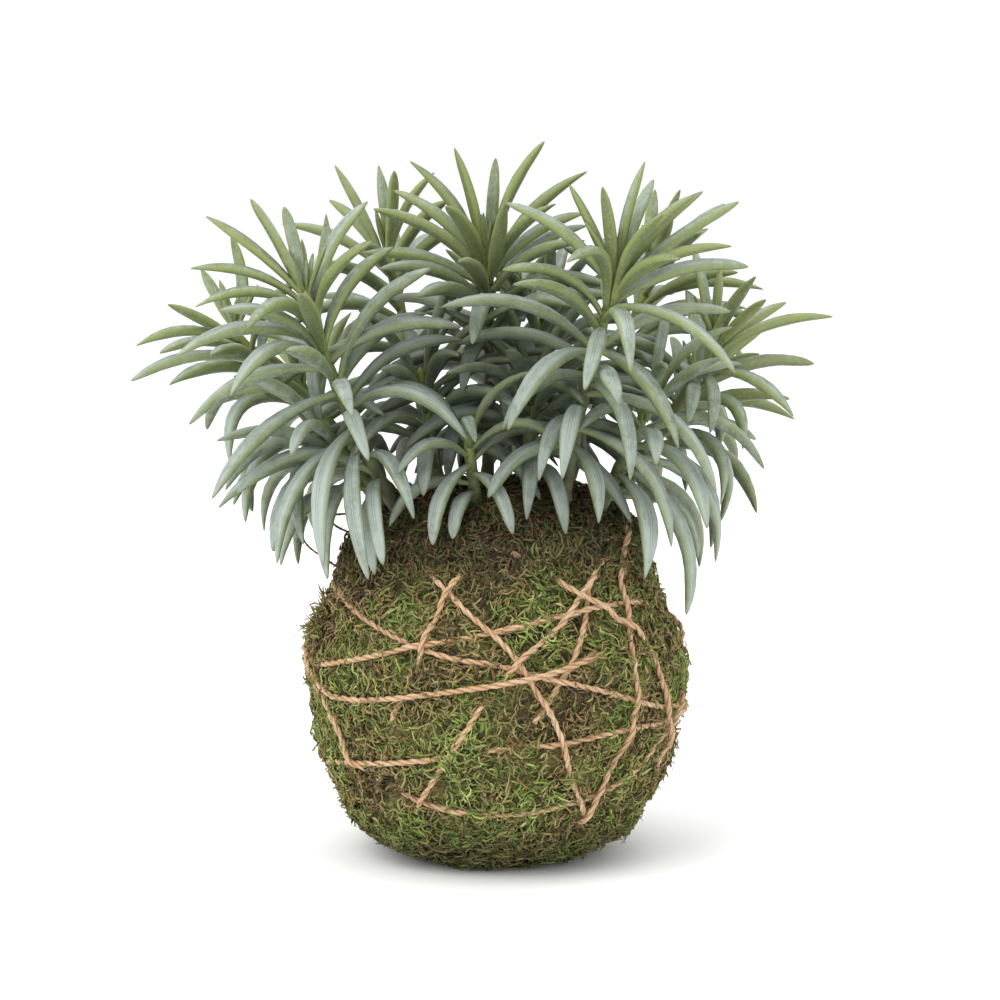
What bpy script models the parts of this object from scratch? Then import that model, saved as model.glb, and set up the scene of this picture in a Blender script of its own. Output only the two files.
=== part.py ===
"""Kokedama: a clump of leafy succulent shoots planted in a moss ball that is tied with twine.

The frame is +Z up, in metres, with the origin at the middle of the flat spot that the ball rests on
and -Y toward the front. Bearings are in degrees round the ball from the front, positive to the right.
"""

import math
from typing import NamedTuple

import bmesh
import bpy
import numpy as np
from mathutils import Matrix, Vector

MM = 0.001
FIT_GAP = 0.35 * MM

# Outlines are half sections, (radius, height) in millimetres from the top down.
MOSS_OUTLINE = (
    (0, 120),
    (25, 118),
    (38, 113),
    (45, 106),
    (48.4, 98),
    (50.4, 90),
    (54.6, 80.5),
    (59, 69),
    (60, 59),
    (59.2, 49.4),
    (56.6, 36.5),
    (51.8, 23.6),
    (45.4, 10.7),
    (33, 2.6),
    (24, 0),
    (0, 0),
)
SOIL_OUTLINE = (
    (0, 112),
    (24, 110),
    (34, 106),
    (40, 100),
    (43, 92),
    (48, 79),
    (53, 59),
    (50, 38.6),
    (40, 16.5),
    (30.5, 9.4),
    (0, 7),
)
MOSS_STEPS = 36
SOIL_STEPS = 24

STEM_FOOT_RADIUS = 2.1 * MM
STEM_TIP_RADIUS = 1.3 * MM
STEM_FOOT_HEIGHT = 113.5 * MM
ROOT_DEPTH = 22 * MM
ROOT_BEND = 5 * MM
STEM_SIDES = 1  # the curve's bevel resolution, which gives six sides
SLEEVE_WALL = 0.5 * MM
SLEEVE_CAP = 1.2 * MM
SLEEVE_BELOW = 2.5 * MM

LEAF_WIDTH = 6.2 * MM
LEAF_THICKNESS = 4.3 * MM
LEAF_YOUNG_SHARE = 0.76  # a leaf's width at the shoot's tip, against a grown one's
LEAF_GROWN_AT = 20  # how far below the tip leaves reach their full width, in mm
# A leaf's girth along its length, as (share of the length, share of the full width).
LEAF_TAPER = (
    (0, 0.38),
    (0.12, 0.56),
    (0.3, 0.88),
    (0.48, 1),
    (0.64, 0.98),
    (0.8, 0.8),
    (0.92, 0.48),
    (1, 0.06),
)
# A leaf's section as shares of its half width: flat on top, keeled below.
LEAF_SECTION = ((-1, 0), (0, 0.5), (1, 0), (0, -0.74))
LEAF_RINGS = (0, 0.34, 0.7, 1)
LEAF_GAP = 0.5 * MM
# Plain leaves fill a shoot in rows down its stem. Lengths are in millimetres.
FILL_TRIES = 80  # how many places are tried for the plain leaves of a shoot
FILL_ROWS = 10
FILL_TOP = 8  # how far below the tip the first row is
FILL_BARE = 22  # how much of the stem the rows leave out
FILL_SHORTER = 0.78  # a leaf's share of its full length in the later half of the tries
MOSS_CLEARANCE = 2.8 * MM
TWINE_CLEARANCE = 5.2 * MM
TWINE_ZONE_TOP = 107 * MM
GOLDEN_ANGLE = 137.5
# Turns and rises, in degrees, and shorter lengths that a leaf tries until it is clear.
NUDGE_SIZES = (4, 8, 12, 17, 23, 30)
NUDGE_DIRECTIONS = 8
NUDGE_SHORTER = (0.85, 0.7)

TWINE_RADIUS = 1.0 * MM
TWINE_LIFT = 0.65 * MM
TWINE_STEP = 1.5 * MM
TWINE_REACH = 9 * MM
TWINE_CREST = 1.6 * MM
TWINE_CROSSING_GAP = 0.3 * MM
TWINE_CROSSING_EASE = 1.03
TWINE_OWN_POINTS = 10  # how many points before one belong to the same strand and don't cross it
TWINE_MEAN_RADIUS = 0.92  # the wound twine's mean radius, as a share of the moss's widest
TWINE_CLIMBING_STEP = 7.5 * MM
TWINE_PLAIN_STEP = 10 * MM
TWINE_LOWEST = 6.5 * MM
TWINE_HIGHEST = 107.5 * MM
# The twine's route as (bearing, height in millimetres); the bearing grows turn after turn.
TWINE_ROUTE = (
    # starts tucked into the moss in front and climbs to the neck
    ((11, 53), (17, 62), (25, 73), (32, 85), (39, 98), (58, 103), (95, 103), (130, 96)),
    ((165, 84), (205, 76), (245, 82)),
    # falls across the front from the upper left to the right
    ((284, 87), (310, 82), (329, 77), (346, 73), (361, 71), (375, 67), (389, 63), (419, 53)),
    ((441, 49), (475, 40), (520, 30), (570, 24), (615, 24)),
    # low belt
    ((646, 32), (689, 39), (706, 42), (721, 45), (739, 46), (760, 48), (791, 47), (825, 52)),
    ((870, 66), (920, 76), (965, 74)),
    # rises across the front to the right
    ((1005, 64), (1030, 69), (1049, 74), (1066, 78), (1081, 81), (1098, 84), (1117, 86)),
    ((1135, 86), (1170, 74), (1215, 60), (1270, 50), (1330, 60)),
    # lowest belt, which climbs to the neck behind
    ((1377, 52), (1388, 38), (1409, 28), (1424, 24), (1441, 23), (1462, 25), (1493, 34)),
    ((1509, 48), (1528, 62), (1560, 84), (1600, 98), (1650, 103), (1710, 105), (1755, 104)),
    # from the neck down across the front and under the ball's side
    ((1775, 97), (1792, 85), (1805, 74), (1810, 66), (1817, 54), (1824, 36), (1831, 23)),
    ((1843, 13), (1865, 8), (1900, 7), (1960, 10), (2030, 8), (2080, 9), (2122, 14)),
    # back up from the lower left
    ((2136, 29), (2148, 46), (2157, 60), (2166, 71), (2181, 82), (2190, 90), (2203, 99)),
    ((2226, 100), (2270, 98), (2310, 88), (2345, 70), (2385, 50), (2425, 24), (2452, 16)),
    # steeply up the left of the front
    ((2471, 24), (2482, 38), (2487, 52), (2494, 66), (2499, 80), (2503, 92), (2512, 102)),
    ((2540, 106), (2590, 104), (2625, 90), (2640, 64), (2636, 38), (2615, 18), (2588, 10)),
    # steeply up the right of the front
    ((2566, 11), (2551, 20), (2557, 32), (2563, 45), (2565, 57), (2568, 78), (2571, 94)),
    ((2585, 106), (2640, 101), (2720, 94), (2800, 100), (2865, 107)),
    # down over the right shoulder
    ((2897, 100), (2909, 90), (2921, 83), (2932, 76), (2939, 64), (2942, 50), (2950, 30)),
    ((2975, 13), (3020, 10), (3060, 18), (3100, 38), (3135, 60)),
    # last run, which ends free in front
    ((3160, 66), (3172, 58), (3192, 57), (3210, 60), (3227, 63), (3243, 66), (3259, 69)),
    ((3271, 72),),
)


class Leaf(NamedTuple):
    """One leaf: how far below the shoot's tip it grows in mm, the bearing and rise of its chord in
    degrees, the chord's length in mm, and how far it arches up as a share of that length."""

    at: float
    bearing: float
    rise: float
    length: float
    arch: float


class Shoot(NamedTuple):
    """One shoot: where its stem leaves the moss, its tip and how far its middle bows, in mm, the
    number of plain leaves that fill it, and the leaves that are placed one by one."""

    name: str
    foot: tuple
    tip: tuple
    bow: tuple
    fill: int
    leaves: tuple


SHOOTS = (
    Shoot("front_left", (-31, -20), (-58, -46, 185), (-3, 3), 7, (
        (1, -80, 40, 37, 0.05), (2, -60, 60, 34, 0.04), (1, -140, 68, 27, 0.02), (4, -75, 18, 36, 0.12),
        (6, -62, 8, 36, 0.14), (4, 160, 62, 28, -0.12), (7, 110, 62, 36, 0.12), (13, -30, 5, 36, 0.22),
        (18, -75, -5, 43, 0.16), (20, -8, 30, 38, 0.06), (19, 112, 52, 36, 0.14), (25, -45, -12, 38, 0.26),
        (28, -88, -20, 45, 0.14), (30, -18, 18, 38, 0.06), (33, 65, 48, 47, 0.14), (35, 118, 30, 36, 0.16),
        (37, -68, -38, 50, 0.12), (43, 60, -10, 43, 0.24), (46, 12, -15, 34, 0.2), (50, -15, -52, 48, 0.2),
        (53, -50, -50, 47, 0.18), (55, 8, -55, 47, 0.2), (57, 75, 34, 44, 0.2), (41, 100, 28, 40, 0.16),
        (60, 32, 0, 32, 0.28), (64, -72, -25, 42, 0.2), (69, 5, -38, 36, 0.25))),
    Shoot("far_left", (-37, -2), (-83, -12, 170), (0, 0), 5, (
        (1, -165, 72, 30, -0.12), (2, -140, 45, 27, 0.05), (3, -60, 28, 26, 0.04), (5, -75, 0, 32, 0.16),
        (7, -45, 2, 34, 0.1), (11, -85, -10, 38, 0.12), (13, -25, 10, 30, 0.1), (22, -130, -30, 34, 0.2),
        (28, -38, -35, 30, 0.32), (33, -125, -62, 38, 0.2), (36, 38, -8, 32, 0.2), (41, -60, -50, 36, 0.22),
        (44, -10, -62, 38, 0.18), (52, -115, -45, 36, 0.25))),
    Shoot("back_left", (-20, 20), (-37, 36, 193), (2, 0), 8, (
        (1, -140, 80, 27, 0.02), (2, 20, 76, 27, 0.02), (3, 105, 60, 30, 0.1), (2, -95, 62, 32, 0.03),
        (5, -130, 40, 31, 0.08), (8, -95, 25, 37, 0.1), (11, -15, 22, 33, 0.1), (14, -110, 5, 37, 0.14),
        (12, 60, 35, 34, 0.1), (16, 160, 30, 36, 0.12), (24, -75, -5, 38, 0.18), (30, -140, -15, 42, 0.2),
        (36, 170, -15, 42, 0.22), (45, -110, -35, 44, 0.22))),
    Shoot("middle", (-3, 6), (-3, -8, 195), (1, 2), 13, (
        (4, -75, 55, 39, 0.08), (1, -60, 74, 34, 0.03), (2, 150, 82, 30, 0), (3, 80, 66, 40, 0.08),
        (7, 82, 46, 43, 0.1), (8, -68, 30, 42, 0.1), (6, -110, 38, 38, 0.1), (10, 12, 50, 34, 0),
        (9, 112, 30, 38, 0.12), (14, -15, 22, 34, 0.08), (13, 62, 26, 36, 0.12), (12, -100, 14, 40, 0.1),
        (17, -75, 18, 36, 0.14), (18, 100, 6, 38, 0.16), (23, 5, -18, 36, 0.25), (27, -50, 15, 36, 0.2),
        (33, 0, -22, 32, 0.3), (38, -62, -18, 42, 0.22), (43, 38, -38, 34, 0.3), (47, 52, -52, 36, 0.28),
        (50, -30, -40, 40, 0.26), (54, 5, -40, 36, 0.28))),
    Shoot("front_right", (21, -22), (38, -42, 191), (-2, 2), 6, (
        (6, -72, 38, 42, 0.1), (3, -60, 64, 31, 0.03), (2, -15, 66, 30, 0.02), (1, 75, 76, 34, 0.05),
        (2, 135, 62, 32, 0.05), (4, 118, 50, 38, 0.08), (5, 72, 48, 37, 0.1), (6, 100, 38, 45, 0.05),
        (8, 84, 24, 39, 0.12), (10, 38, 26, 34, 0.14), (11, 108, 12, 45, 0.12), (12, 62, -24, 45, 0.14),
        (15, -65, 24, 36, 0.16), (11, -25, 25, 33, 0.3), (16, 12, -25, 33, 0.28), (20, -12, -30, 32, 0.15),
        (27, -82, 16, 48, 0.16), (28, -48, -32, 41, 0.22), (27, 48, -42, 42, 0.15), (36, -56, -22, 34, 0.2),
        (38, 28, -48, 37, 0.24), (42, 72, -48, 50, 0.2), (47, 12, -46, 36, 0.24), (50, -24, -28, 34, 0.2),
        (54, 68, -50, 46, 0.2), (60, 24, -52, 27, 0.2), (60, -56, -26, 34, 0.18), (73, -60, -38, 33, 0.18))),
    Shoot("far_right", (38, 0), (71, -6, 166), (0, 0), 5, (
        (3, -150, 76, 33, 0.05), (1, 50, 84, 24, 0), (3, 38, 38, 29, 0.03), (2, 118, 28, 28, 0.08),
        (4, 82, 20, 38, 0.1), (10, 66, -8, 32, 0.14), (12, 5, -8, 26, 0.2), (15, -20, -8, 30, 0.1),
        (21, 64, -40, 24, 0.36), (25, 138, -38, 24, 0.34), (33, 48, -50, 30, 0.34), (34, 115, -56, 36, 0.3),
        (40, 62, -60, 36, 0.24), (45, 20, -52, 34, 0.24))),
    Shoot("back_right", (22, 22), (52, 34, 186), (0, 0), 8, (
        (1, 60, 70, 28, 0.02), (2, 170, 62, 30, 0.04), (3, 110, 45, 34, 0.08), (5, 20, 50, 30, 0.08),
        (8, 140, 30, 38, 0.1), (11, 85, 6, 38, 0.12), (13, 60, 20, 36, 0.1), (17, 76, -6, 40, 0.14),
        (22, 165, 5, 40, 0.16), (27, 110, -15, 42, 0.2), (34, 60, -25, 42, 0.22), (40, 150, -30, 42, 0.22),
        (47, 95, -45, 44, 0.24))),
    Shoot("front_middle", (-6, -24), (-9, -32, 141), (0, 0), 0, (
        (1, 62, 42, 30, 0.14), (2, -85, 36, 28, 0.16), (4, 5, 8, 26, 0.26), (6, 76, -2, 31, 0.28),
        (8, -48, -8, 28, 0.24), (10, 112, 10, 32, 0.2), (12, -32, -56, 30, 0.16), (15, 35, -38, 26, 0.24),
        (18, -75, -28, 28, 0.24), (21, -18, -54, 22, 0.16))),
    Shoot("inner_left", (-17, -7), (-24, -12, 158), (0, 0), 9, (
        (1, 60, 72, 30, 0.04), (3, 120, 52, 38, 0.1), (5, -60, 50, 32, 0.1), (7, 75, 36, 42, 0.12),
        (10, 20, 30, 34, 0.18), (13, 105, 22, 42, 0.16), (17, 45, 5, 38, 0.22), (21, -40, -5, 34, 0.24),
        (25, 85, -12, 40, 0.24), (31, 20, -30, 36, 0.26), (37, 70, -35, 36, 0.26))),
    Shoot("inner_right", (9, -8), (12, -14, 156), (0, 0), 9, (
        (1, -60, 70, 30, 0.04), (3, 60, 55, 34, 0.1), (5, -90, 40, 38, 0.12), (8, 100, 35, 36, 0.14),
        (11, -45, 22, 38, 0.18), (14, 30, 12, 34, 0.24), (18, -80, 2, 40, 0.22), (22, 70, -10, 38, 0.24),
        (26, -20, -25, 36, 0.26), (31, 35, -38, 36, 0.26), (37, -60, -35, 36, 0.26))),
    Shoot("inner_back", (10, 12), (15, 20, 172), (0, 0), 9, (
        (1, 20, 74, 28, 0.03), (3, 150, 60, 32, 0.06), (5, -110, 48, 34, 0.08), (7, 80, 40, 36, 0.1),
        (10, 175, 28, 38, 0.14), (14, 120, 12, 40, 0.18), (19, -160, 0, 40, 0.2), (25, 95, -16, 42, 0.22),
        (31, 165, -28, 42, 0.22), (38, -120, -34, 40, 0.24))),
    Shoot("low_right", (33, -14), (50, -22, 152), (0, 0), 5, (
        (1, 150, 68, 28, 0.04), (3, 70, 45, 34, 0.14), (6, 10, 30, 30, 0.2), (9, 120, 25, 36, 0.18),
        (12, -40, 0, 30, 0.22), (15, 85, -15, 40, 0.26), (19, 40, -35, 40, 0.24), (23, 100, -52, 44, 0.26),
        (27, 66, -66, 50, 0.2), (30, 20, -55, 36, 0.22), (35, 60, -40, 34, 0.26), (38, 110, -35, 36, 0.26))),
    Shoot("low_left", (-34, -10), (-56, -26, 143), (0, 0), 6, (
        (1, -160, 68, 26, 0.04), (3, -60, 35, 32, 0.14), (6, -130, 25, 32, 0.18), (9, -20, 0, 32, 0.24),
        (12, -85, -20, 36, 0.26), (16, -50, -45, 38, 0.24), (20, -110, -48, 38, 0.24), (24, -25, -55, 36, 0.24),
        (29, -75, -42, 36, 0.26), (33, 20, -50, 34, 0.24))),
    Shoot("back_middle", (3, 32), (6, 54, 170), (0, 0), 8, (
        (1, 10, 78, 27, 0.02), (2, -150, 68, 30, 0.04), (3, 110, 55, 32, 0.06), (5, -80, 50, 33, 0.08),
        (7, 170, 40, 36, 0.1), (10, 60, 25, 34, 0.12), (13, -120, 18, 38, 0.14), (17, 140, 5, 40, 0.16),
        (22, -165, -12, 42, 0.2), (28, 100, -18, 40, 0.22), (34, 175, -35, 44, 0.24), (41, -110, -40, 42, 0.24),
        (47, 145, -50, 42, 0.24))),
    Shoot("back_far_left", (-33, 14), (-66, 34, 148), (0, 0), 4, (
        (1, -60, 74, 26, 0.02), (2, 160, 62, 30, 0.05), (4, -120, 48, 32, 0.08), (7, -50, 35, 33, 0.12),
        (10, 175, 22, 36, 0.14), (14, -95, 5, 38, 0.18), (19, -150, -15, 42, 0.22), (25, -75, -30, 40, 0.24),
        (31, 165, -38, 42, 0.24), (38, -120, -52, 42, 0.24))),
    Shoot("back_far_right", (34, 18), (68, 36, 146), (0, 0), 4, (
        (1, 40, 74, 26, 0.02), (2, 170, 60, 30, 0.05), (4, 110, 46, 32, 0.08), (7, 50, 34, 33, 0.12),
        (10, 150, 20, 36, 0.14), (14, 90, 2, 38, 0.18), (19, 140, -18, 42, 0.22), (25, 70, -32, 40, 0.24),
        (31, 175, -38, 42, 0.24), (38, 115, -52, 42, 0.24))),
)


# ---------------------------------------------------------------- shared geometry


def unit(vector):
    """The vector at length one."""
    return vector / np.linalg.norm(vector)


def heading(bearing, rise):
    """The direction with this bearing and rise, both in degrees."""
    turn, lift = math.radians(bearing), math.radians(rise)
    level = math.cos(lift)
    return np.array([math.sin(turn) * level, -math.cos(turn) * level, math.sin(lift)])


def outline_radius(outline, height):
    """The outline's radius at a height, both in metres."""
    radii = [radius * MM for radius, _ in outline[::-1]]
    heights = [z * MM for _, z in outline[::-1]]
    return np.interp(height, heights[1:], radii[1:])


def run_of(points):
    """The distance along a line of points, from its first point."""
    return np.concatenate([[0], np.cumsum(np.linalg.norm(np.diff(points, axis=0), axis=1))])


# ---------------------------------------------------------------- stems


def stem_line(shoot, count=60):
    """The stem's centre line above the moss, from foot to tip."""
    foot = np.array([*shoot.foot, STEM_FOOT_HEIGHT / MM]) * MM
    tip = np.array(shoot.tip) * MM
    control = (foot + tip) / 2 + 2 * np.array([*shoot.bow, 0]) * MM
    t = np.linspace(0, 1, count)[:, None]
    return (1 - t) ** 2 * foot + 2 * t * (1 - t) * control + t * t * tip


def on_line(line, at):
    """The point at a distance below the line's tip, the direction there and the share of the run."""
    run = run_of(line)
    place = run[-1] - at
    point = np.array([np.interp(place, run, line[:, axis]) for axis in range(3)])
    step = min(max(int(np.searchsorted(run, place)) - 1, 0), len(line) - 2)
    return point, unit(line[step + 1] - line[step]), place / run[-1]


def stem_radius(share):
    """The stem's radius at a share of the way from its foot to its tip."""
    return STEM_FOOT_RADIUS + (STEM_TIP_RADIUS - STEM_FOOT_RADIUS) * np.clip(share, 0, 1)


# ---------------------------------------------------------------- leaves


class Blade:
    """The leaf's plane curve in space: a chord from its foot, arched toward its upper face."""

    def __init__(self, line, leaf):
        spot, axis, share = on_line(line, leaf.at * MM)
        self.leaf = leaf
        self.chord = heading(leaf.bearing, leaf.rise)
        aside = self.chord - (self.chord @ axis) * axis
        self.out = unit(aside)
        lean = axis + np.array([0, 0, 1]) + 0.15 * self.out
        self.up = unit(lean - (lean @ self.chord) * self.chord)
        self.side = np.cross(self.chord, self.up)
        self.foot = spot + self.out * (stem_radius(share) + FIT_GAP + 0.1 * MM)
        self.length = leaf.length * MM
        grown = LEAF_YOUNG_SHARE + (1 - LEAF_YOUNG_SHARE) * min(1, leaf.at / LEAF_GROWN_AT)
        size = grown * (0.75 + 0.25 * min(1, leaf.length / 40))
        self.half_width = LEAF_WIDTH / 2 * size
        self.half_thickness = LEAF_THICKNESS / 2 * size

    def points(self, shares):
        """The centre line at shares of its length."""
        t = np.asarray(shares, float)[:, None]
        return self.foot + self.length * (t * self.chord + 4 * self.leaf.arch * t * (1 - t) * self.up)

    def headings(self, shares):
        """The centre line's directions at shares of its length."""
        t = np.asarray(shares, float)[:, None]
        ahead = self.chord + 4 * self.leaf.arch * (1 - 2 * t) * self.up
        return ahead / np.linalg.norm(ahead, axis=1)[:, None]


def leaf_girth(shares):
    """The leaf's width at shares of its length, as a share of its full width."""
    return np.interp(shares, [t for t, _ in LEAF_TAPER], [girth for _, girth in LEAF_TAPER])


class Crowd:
    """Flat round samples of everything that has grown, so that a new leaf can keep clear of it."""

    def __init__(self):
        self.rows = np.zeros((0, 15))

    def add(self, points, sides, tops, ahead, width, thickness, owner):
        """Adds samples; owner is the number of the shoot that they grow on."""
        owners = np.full(len(points), owner, float)
        new = np.column_stack([points, sides, tops, ahead, width, thickness, owners])
        self.rows = np.vstack([self.rows, new])

    def near(self, points, margin):
        """The samples within a margin of the points' box."""
        inside = (self.rows[:, :3] > points.min(0) - margin) & (self.rows[:, :3] < points.max(0) + margin)
        return self.rows[inside.all(1)]


SAMPLE_SHARES = np.linspace(0.1, 1, 18)
OWN_SHOOT_FREE = 0.28
SAMPLE_HALF_STEP = 0.8 * MM


def blade_samples(blade):
    """Points, axes, half width and half thickness of samples along a blade."""
    points = blade.points(SAMPLE_SHARES)
    ahead = blade.headings(SAMPLE_SHARES)
    sides = np.repeat(blade.side[None], len(points), axis=0)
    girth = leaf_girth(SAMPLE_SHARES)
    width, thickness = girth * blade.half_width, girth * blade.half_thickness
    return points, sides, np.cross(sides, ahead), ahead, width, thickness


def room_over_moss(points):
    """How far points lie outside the moss outline; negative inside it."""
    place = np.stack([np.hypot(points[:, 0], points[:, 1]), points[:, 2]], axis=1)
    outline = np.array(MOSS_OUTLINE, float) * MM
    least = np.full(len(points), np.inf)
    for start, end in zip(outline[:-1], outline[1:]):
        along = end - start
        share = np.clip((place - start) @ along / (along @ along), 0, 1)
        least = np.minimum(least, np.linalg.norm(place - start - share[:, None] * along, axis=1))
    below_top = (place[:, 1] > 0) & (place[:, 1] < MOSS_OUTLINE[0][1] * MM)
    inside = below_top & (place[:, 0] < outline_radius(MOSS_OUTLINE, place[:, 1]))
    return np.where(inside, -least, least)


def reach_toward(directions, sides, tops, ahead, width, thickness):
    """How far a flat round sample reaches in each direction."""
    across = (directions * sides).sum(-1) * width
    through = (directions * tops).sum(-1) * thickness
    along = (directions * ahead).sum(-1) * SAMPLE_HALF_STEP
    return np.sqrt(across**2 + through**2 + along**2)


def room_for(blade, crowd, owner):
    """The least room round a blade, beyond the gap that leaves keep; negative is too close."""
    points, sides, tops, ahead, width, thickness = blade_samples(blade)
    clearance = np.where(points[:, 2] < TWINE_ZONE_TOP, TWINE_CLEARANCE, MOSS_CLEARANCE)
    over_moss = (room_over_moss(points) - thickness - clearance)[SAMPLE_SHARES > 0.3].min()
    rows = crowd.near(points, 8 * MM)
    if not len(rows):
        return over_moss
    between = rows[None, :, :3] - points[:, None]
    distance = np.linalg.norm(between, axis=2) + 1e-9
    toward = between / distance[..., None]
    own = [values[:, None] for values in (sides, tops, ahead, width, thickness)]
    mine = reach_toward(toward, *own)
    theirs = reach_toward(toward, rows[:, 3:6], rows[:, 6:9], rows[:, 9:12], rows[:, 12], rows[:, 13])
    room = distance - mine - theirs - LEAF_GAP
    own_base = (rows[None, :, 14] == owner) & (SAMPLE_SHARES[:, None] < OWN_SHOOT_FREE)
    return min(over_moss, np.where(own_base, np.inf, room).min())


def nudges():
    """Small turns and rises to try, nearest first, then the same with a shorter leaf."""
    plain = [(0.0, 0.0)]
    for size in NUDGE_SIZES:
        for number in range(NUDGE_DIRECTIONS):
            turn = number * 2 * math.pi / NUDGE_DIRECTIONS
            plain.append((size * math.cos(turn), size * math.sin(turn)))
    small = plain[: 1 + 4 * NUDGE_DIRECTIONS]
    full = [(turn, lift, 1) for turn, lift in plain]
    return full + [(turn, lift, share) for share in NUDGE_SHORTER for turn, lift in small]


NUDGES = nudges()
WORST_ROOM = -0.2 * MM


def grow_leaf(line, leaf, crowd, owner, required):
    """The blade of a leaf, nudged until it is clear. A leaf that isn't required may not grow."""
    best_room, best = -np.inf, None
    steepness = max(0.35, math.cos(math.radians(leaf.rise)))
    for turn, lift, size in NUDGES:
        rise = min(88, max(-85, leaf.rise + lift))
        nudged = leaf._replace(bearing=leaf.bearing + turn / steepness, rise=rise, length=leaf.length * size)
        blade = Blade(line, nudged)
        room = room_for(blade, crowd, owner)
        if room > best_room:
            best_room, best = room, blade
        if room >= 0:
            break
    if best_room < 0 and (not required or best_room < WORST_ROOM):
        return None
    crowd.add(*blade_samples(best), owner)
    return best


def grow_shoots():
    """The stem lines and blades of every shoot, by name."""
    crowd = Crowd()
    lines = {shoot.name: stem_line(shoot) for shoot in SHOOTS}
    for owner, shoot in enumerate(SHOOTS):
        line = lines[shoot.name]
        ahead = np.gradient(line, axis=0)
        ahead /= np.linalg.norm(ahead, axis=1)[:, None]
        sides = np.cross(ahead, [0, 1, 0])
        sides /= np.linalg.norm(sides, axis=1)[:, None]
        girth = np.full(len(line), STEM_FOOT_RADIUS + FIT_GAP + SLEEVE_WALL)
        crowd.add(line, sides, np.cross(sides, ahead), ahead, girth, girth, owner)
    blades = {shoot.name: [] for shoot in SHOOTS}
    order = sorted(
        (row[0], owner, index)
        for owner, shoot in enumerate(SHOOTS)
        for index, row in enumerate(shoot.leaves)
    )
    for _, owner, index in order:
        shoot = SHOOTS[owner]
        blade = grow_leaf(lines[shoot.name], Leaf(*shoot.leaves[index]), crowd, owner, True)
        if blade:
            blades[shoot.name].append(blade)
    for owner, shoot in enumerate(SHOOTS):
        line = lines[shoot.name]
        span = run_of(line)[-1] / MM - FILL_BARE
        added = 0
        for number in range(FILL_TRIES):
            if added == shoot.fill:
                break
            down = number % FILL_ROWS / FILL_ROWS
            fullness = 1 if number < FILL_TRIES / 2 else FILL_SHORTER
            plain = Leaf(
                at=FILL_TOP + span * down,
                bearing=GOLDEN_ANGLE * number + 40,
                rise=40 - 85 * down,
                length=fullness * (36 + 6 * math.sin(math.pi * down)),
                arch=0.1 + 0.12 * down,
            )
            blade = grow_leaf(line, plain, crowd, owner, False)
            if blade:
                blades[shoot.name].append(blade)
                added += 1
    return lines, blades


# ---------------------------------------------------------------- twine


def route_samples():
    """Bearings in radians and heights in metres along the twine, on a smooth curve through its route."""
    stops = np.array([stop for run in TWINE_ROUTE for stop in run], float)
    turn = np.radians(stops[:, 0])
    height = stops[:, 1] * MM
    widest = max(radius for radius, _ in MOSS_OUTLINE) * MM
    knots = run_of(np.stack([turn * TWINE_MEAN_RADIUS * widest, height], axis=1))
    places = np.linspace(0, knots[-1], int(knots[-1] / TWINE_STEP))

    def eased(values):
        slopes = np.gradient(values, knots)
        step = np.clip(np.searchsorted(knots, places, side="right") - 1, 0, len(knots) - 2)
        width = knots[step + 1] - knots[step]
        t = (places - knots[step]) / width
        start = (2 * t**3 - 3 * t**2 + 1) * values[step]
        leaving = (t**3 - 2 * t**2 + t) * width * slopes[step]
        end = (3 * t**2 - 2 * t**3) * values[step + 1]
        arriving = (t**3 - t**2) * width * slopes[step + 1]
        return start + leaving + end + arriving

    return eased(turn), np.clip(eased(height), TWINE_LOWEST, TWINE_HIGHEST)


def on_moss(turn, height):
    """Points on the moss outline and its outward directions."""
    reach = 3 * MM
    low = np.maximum(height - reach, 0)
    high = np.minimum(height + reach, MOSS_OUTLINE[0][1] * MM)
    slope = (outline_radius(MOSS_OUTLINE, high) - outline_radius(MOSS_OUTLINE, low)) / (high - low)
    radius = outline_radius(MOSS_OUTLINE, height)
    across, toward = np.sin(turn), -np.cos(turn)
    out = np.stack([across, toward, -slope], axis=1)
    out /= np.linalg.norm(out, axis=1)[:, None]
    return np.stack([radius * across, radius * toward, height], axis=1), out


def twine_line():
    """The twine's centre line, lifted over each strand that it crosses, and its lift at each point."""
    base, out = on_moss(*route_samples())
    run = run_of(base)
    spacing = (2 * TWINE_RADIUS + TWINE_CROSSING_GAP) * TWINE_CROSSING_EASE
    later, earlier, apart = [], [], []
    for index in range(TWINE_OWN_POINTS + 2, len(base)):
        distance = np.linalg.norm(base[: index - TWINE_OWN_POINTS] - base[index], axis=1)
        for other in np.nonzero(distance < spacing)[0]:
            later.append(index)
            earlier.append(other)
            apart.append(distance[other])
    over = np.sqrt(spacing**2 - np.array(apart) ** 2)
    lowest = TWINE_RADIUS + TWINE_LIFT
    height = np.full(len(base), lowest)
    for _ in range(10):
        need = np.full(len(base), lowest)
        np.maximum.at(need, later, height[earlier] + over)
        lifted = np.full(len(base), lowest)
        for index in np.nonzero(need > lowest + 1e-6)[0]:
            away = np.abs(run - run[index])
            share = np.where(away < TWINE_REACH, np.cos(away / TWINE_REACH * math.pi / 2) ** 2, 0)
            share[away < TWINE_CREST] = 1
            lifted = np.maximum(lifted, lowest + (need[index] - lowest) * share)
        if np.allclose(lifted, height, atol=1e-6):
            break
        height = lifted
    return base + out * height[:, None], height - lowest


def thinned(line, lift):
    """The twine's points at wider steps, closer together where it climbs over another strand."""
    run = run_of(line)
    kept = [0]
    for index in range(1, len(line)):
        climbing = lift[kept[-1] : index + 1].max() > 0.1 * MM
        if run[index] - run[kept[-1]] >= (TWINE_CLIMBING_STEP if climbing else TWINE_PLAIN_STEP):
            kept.append(index)
    if kept[-1] != len(line) - 1:
        kept[-1] = len(line) - 1
    return line[kept]


# ---------------------------------------------------------------- Blender objects


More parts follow.
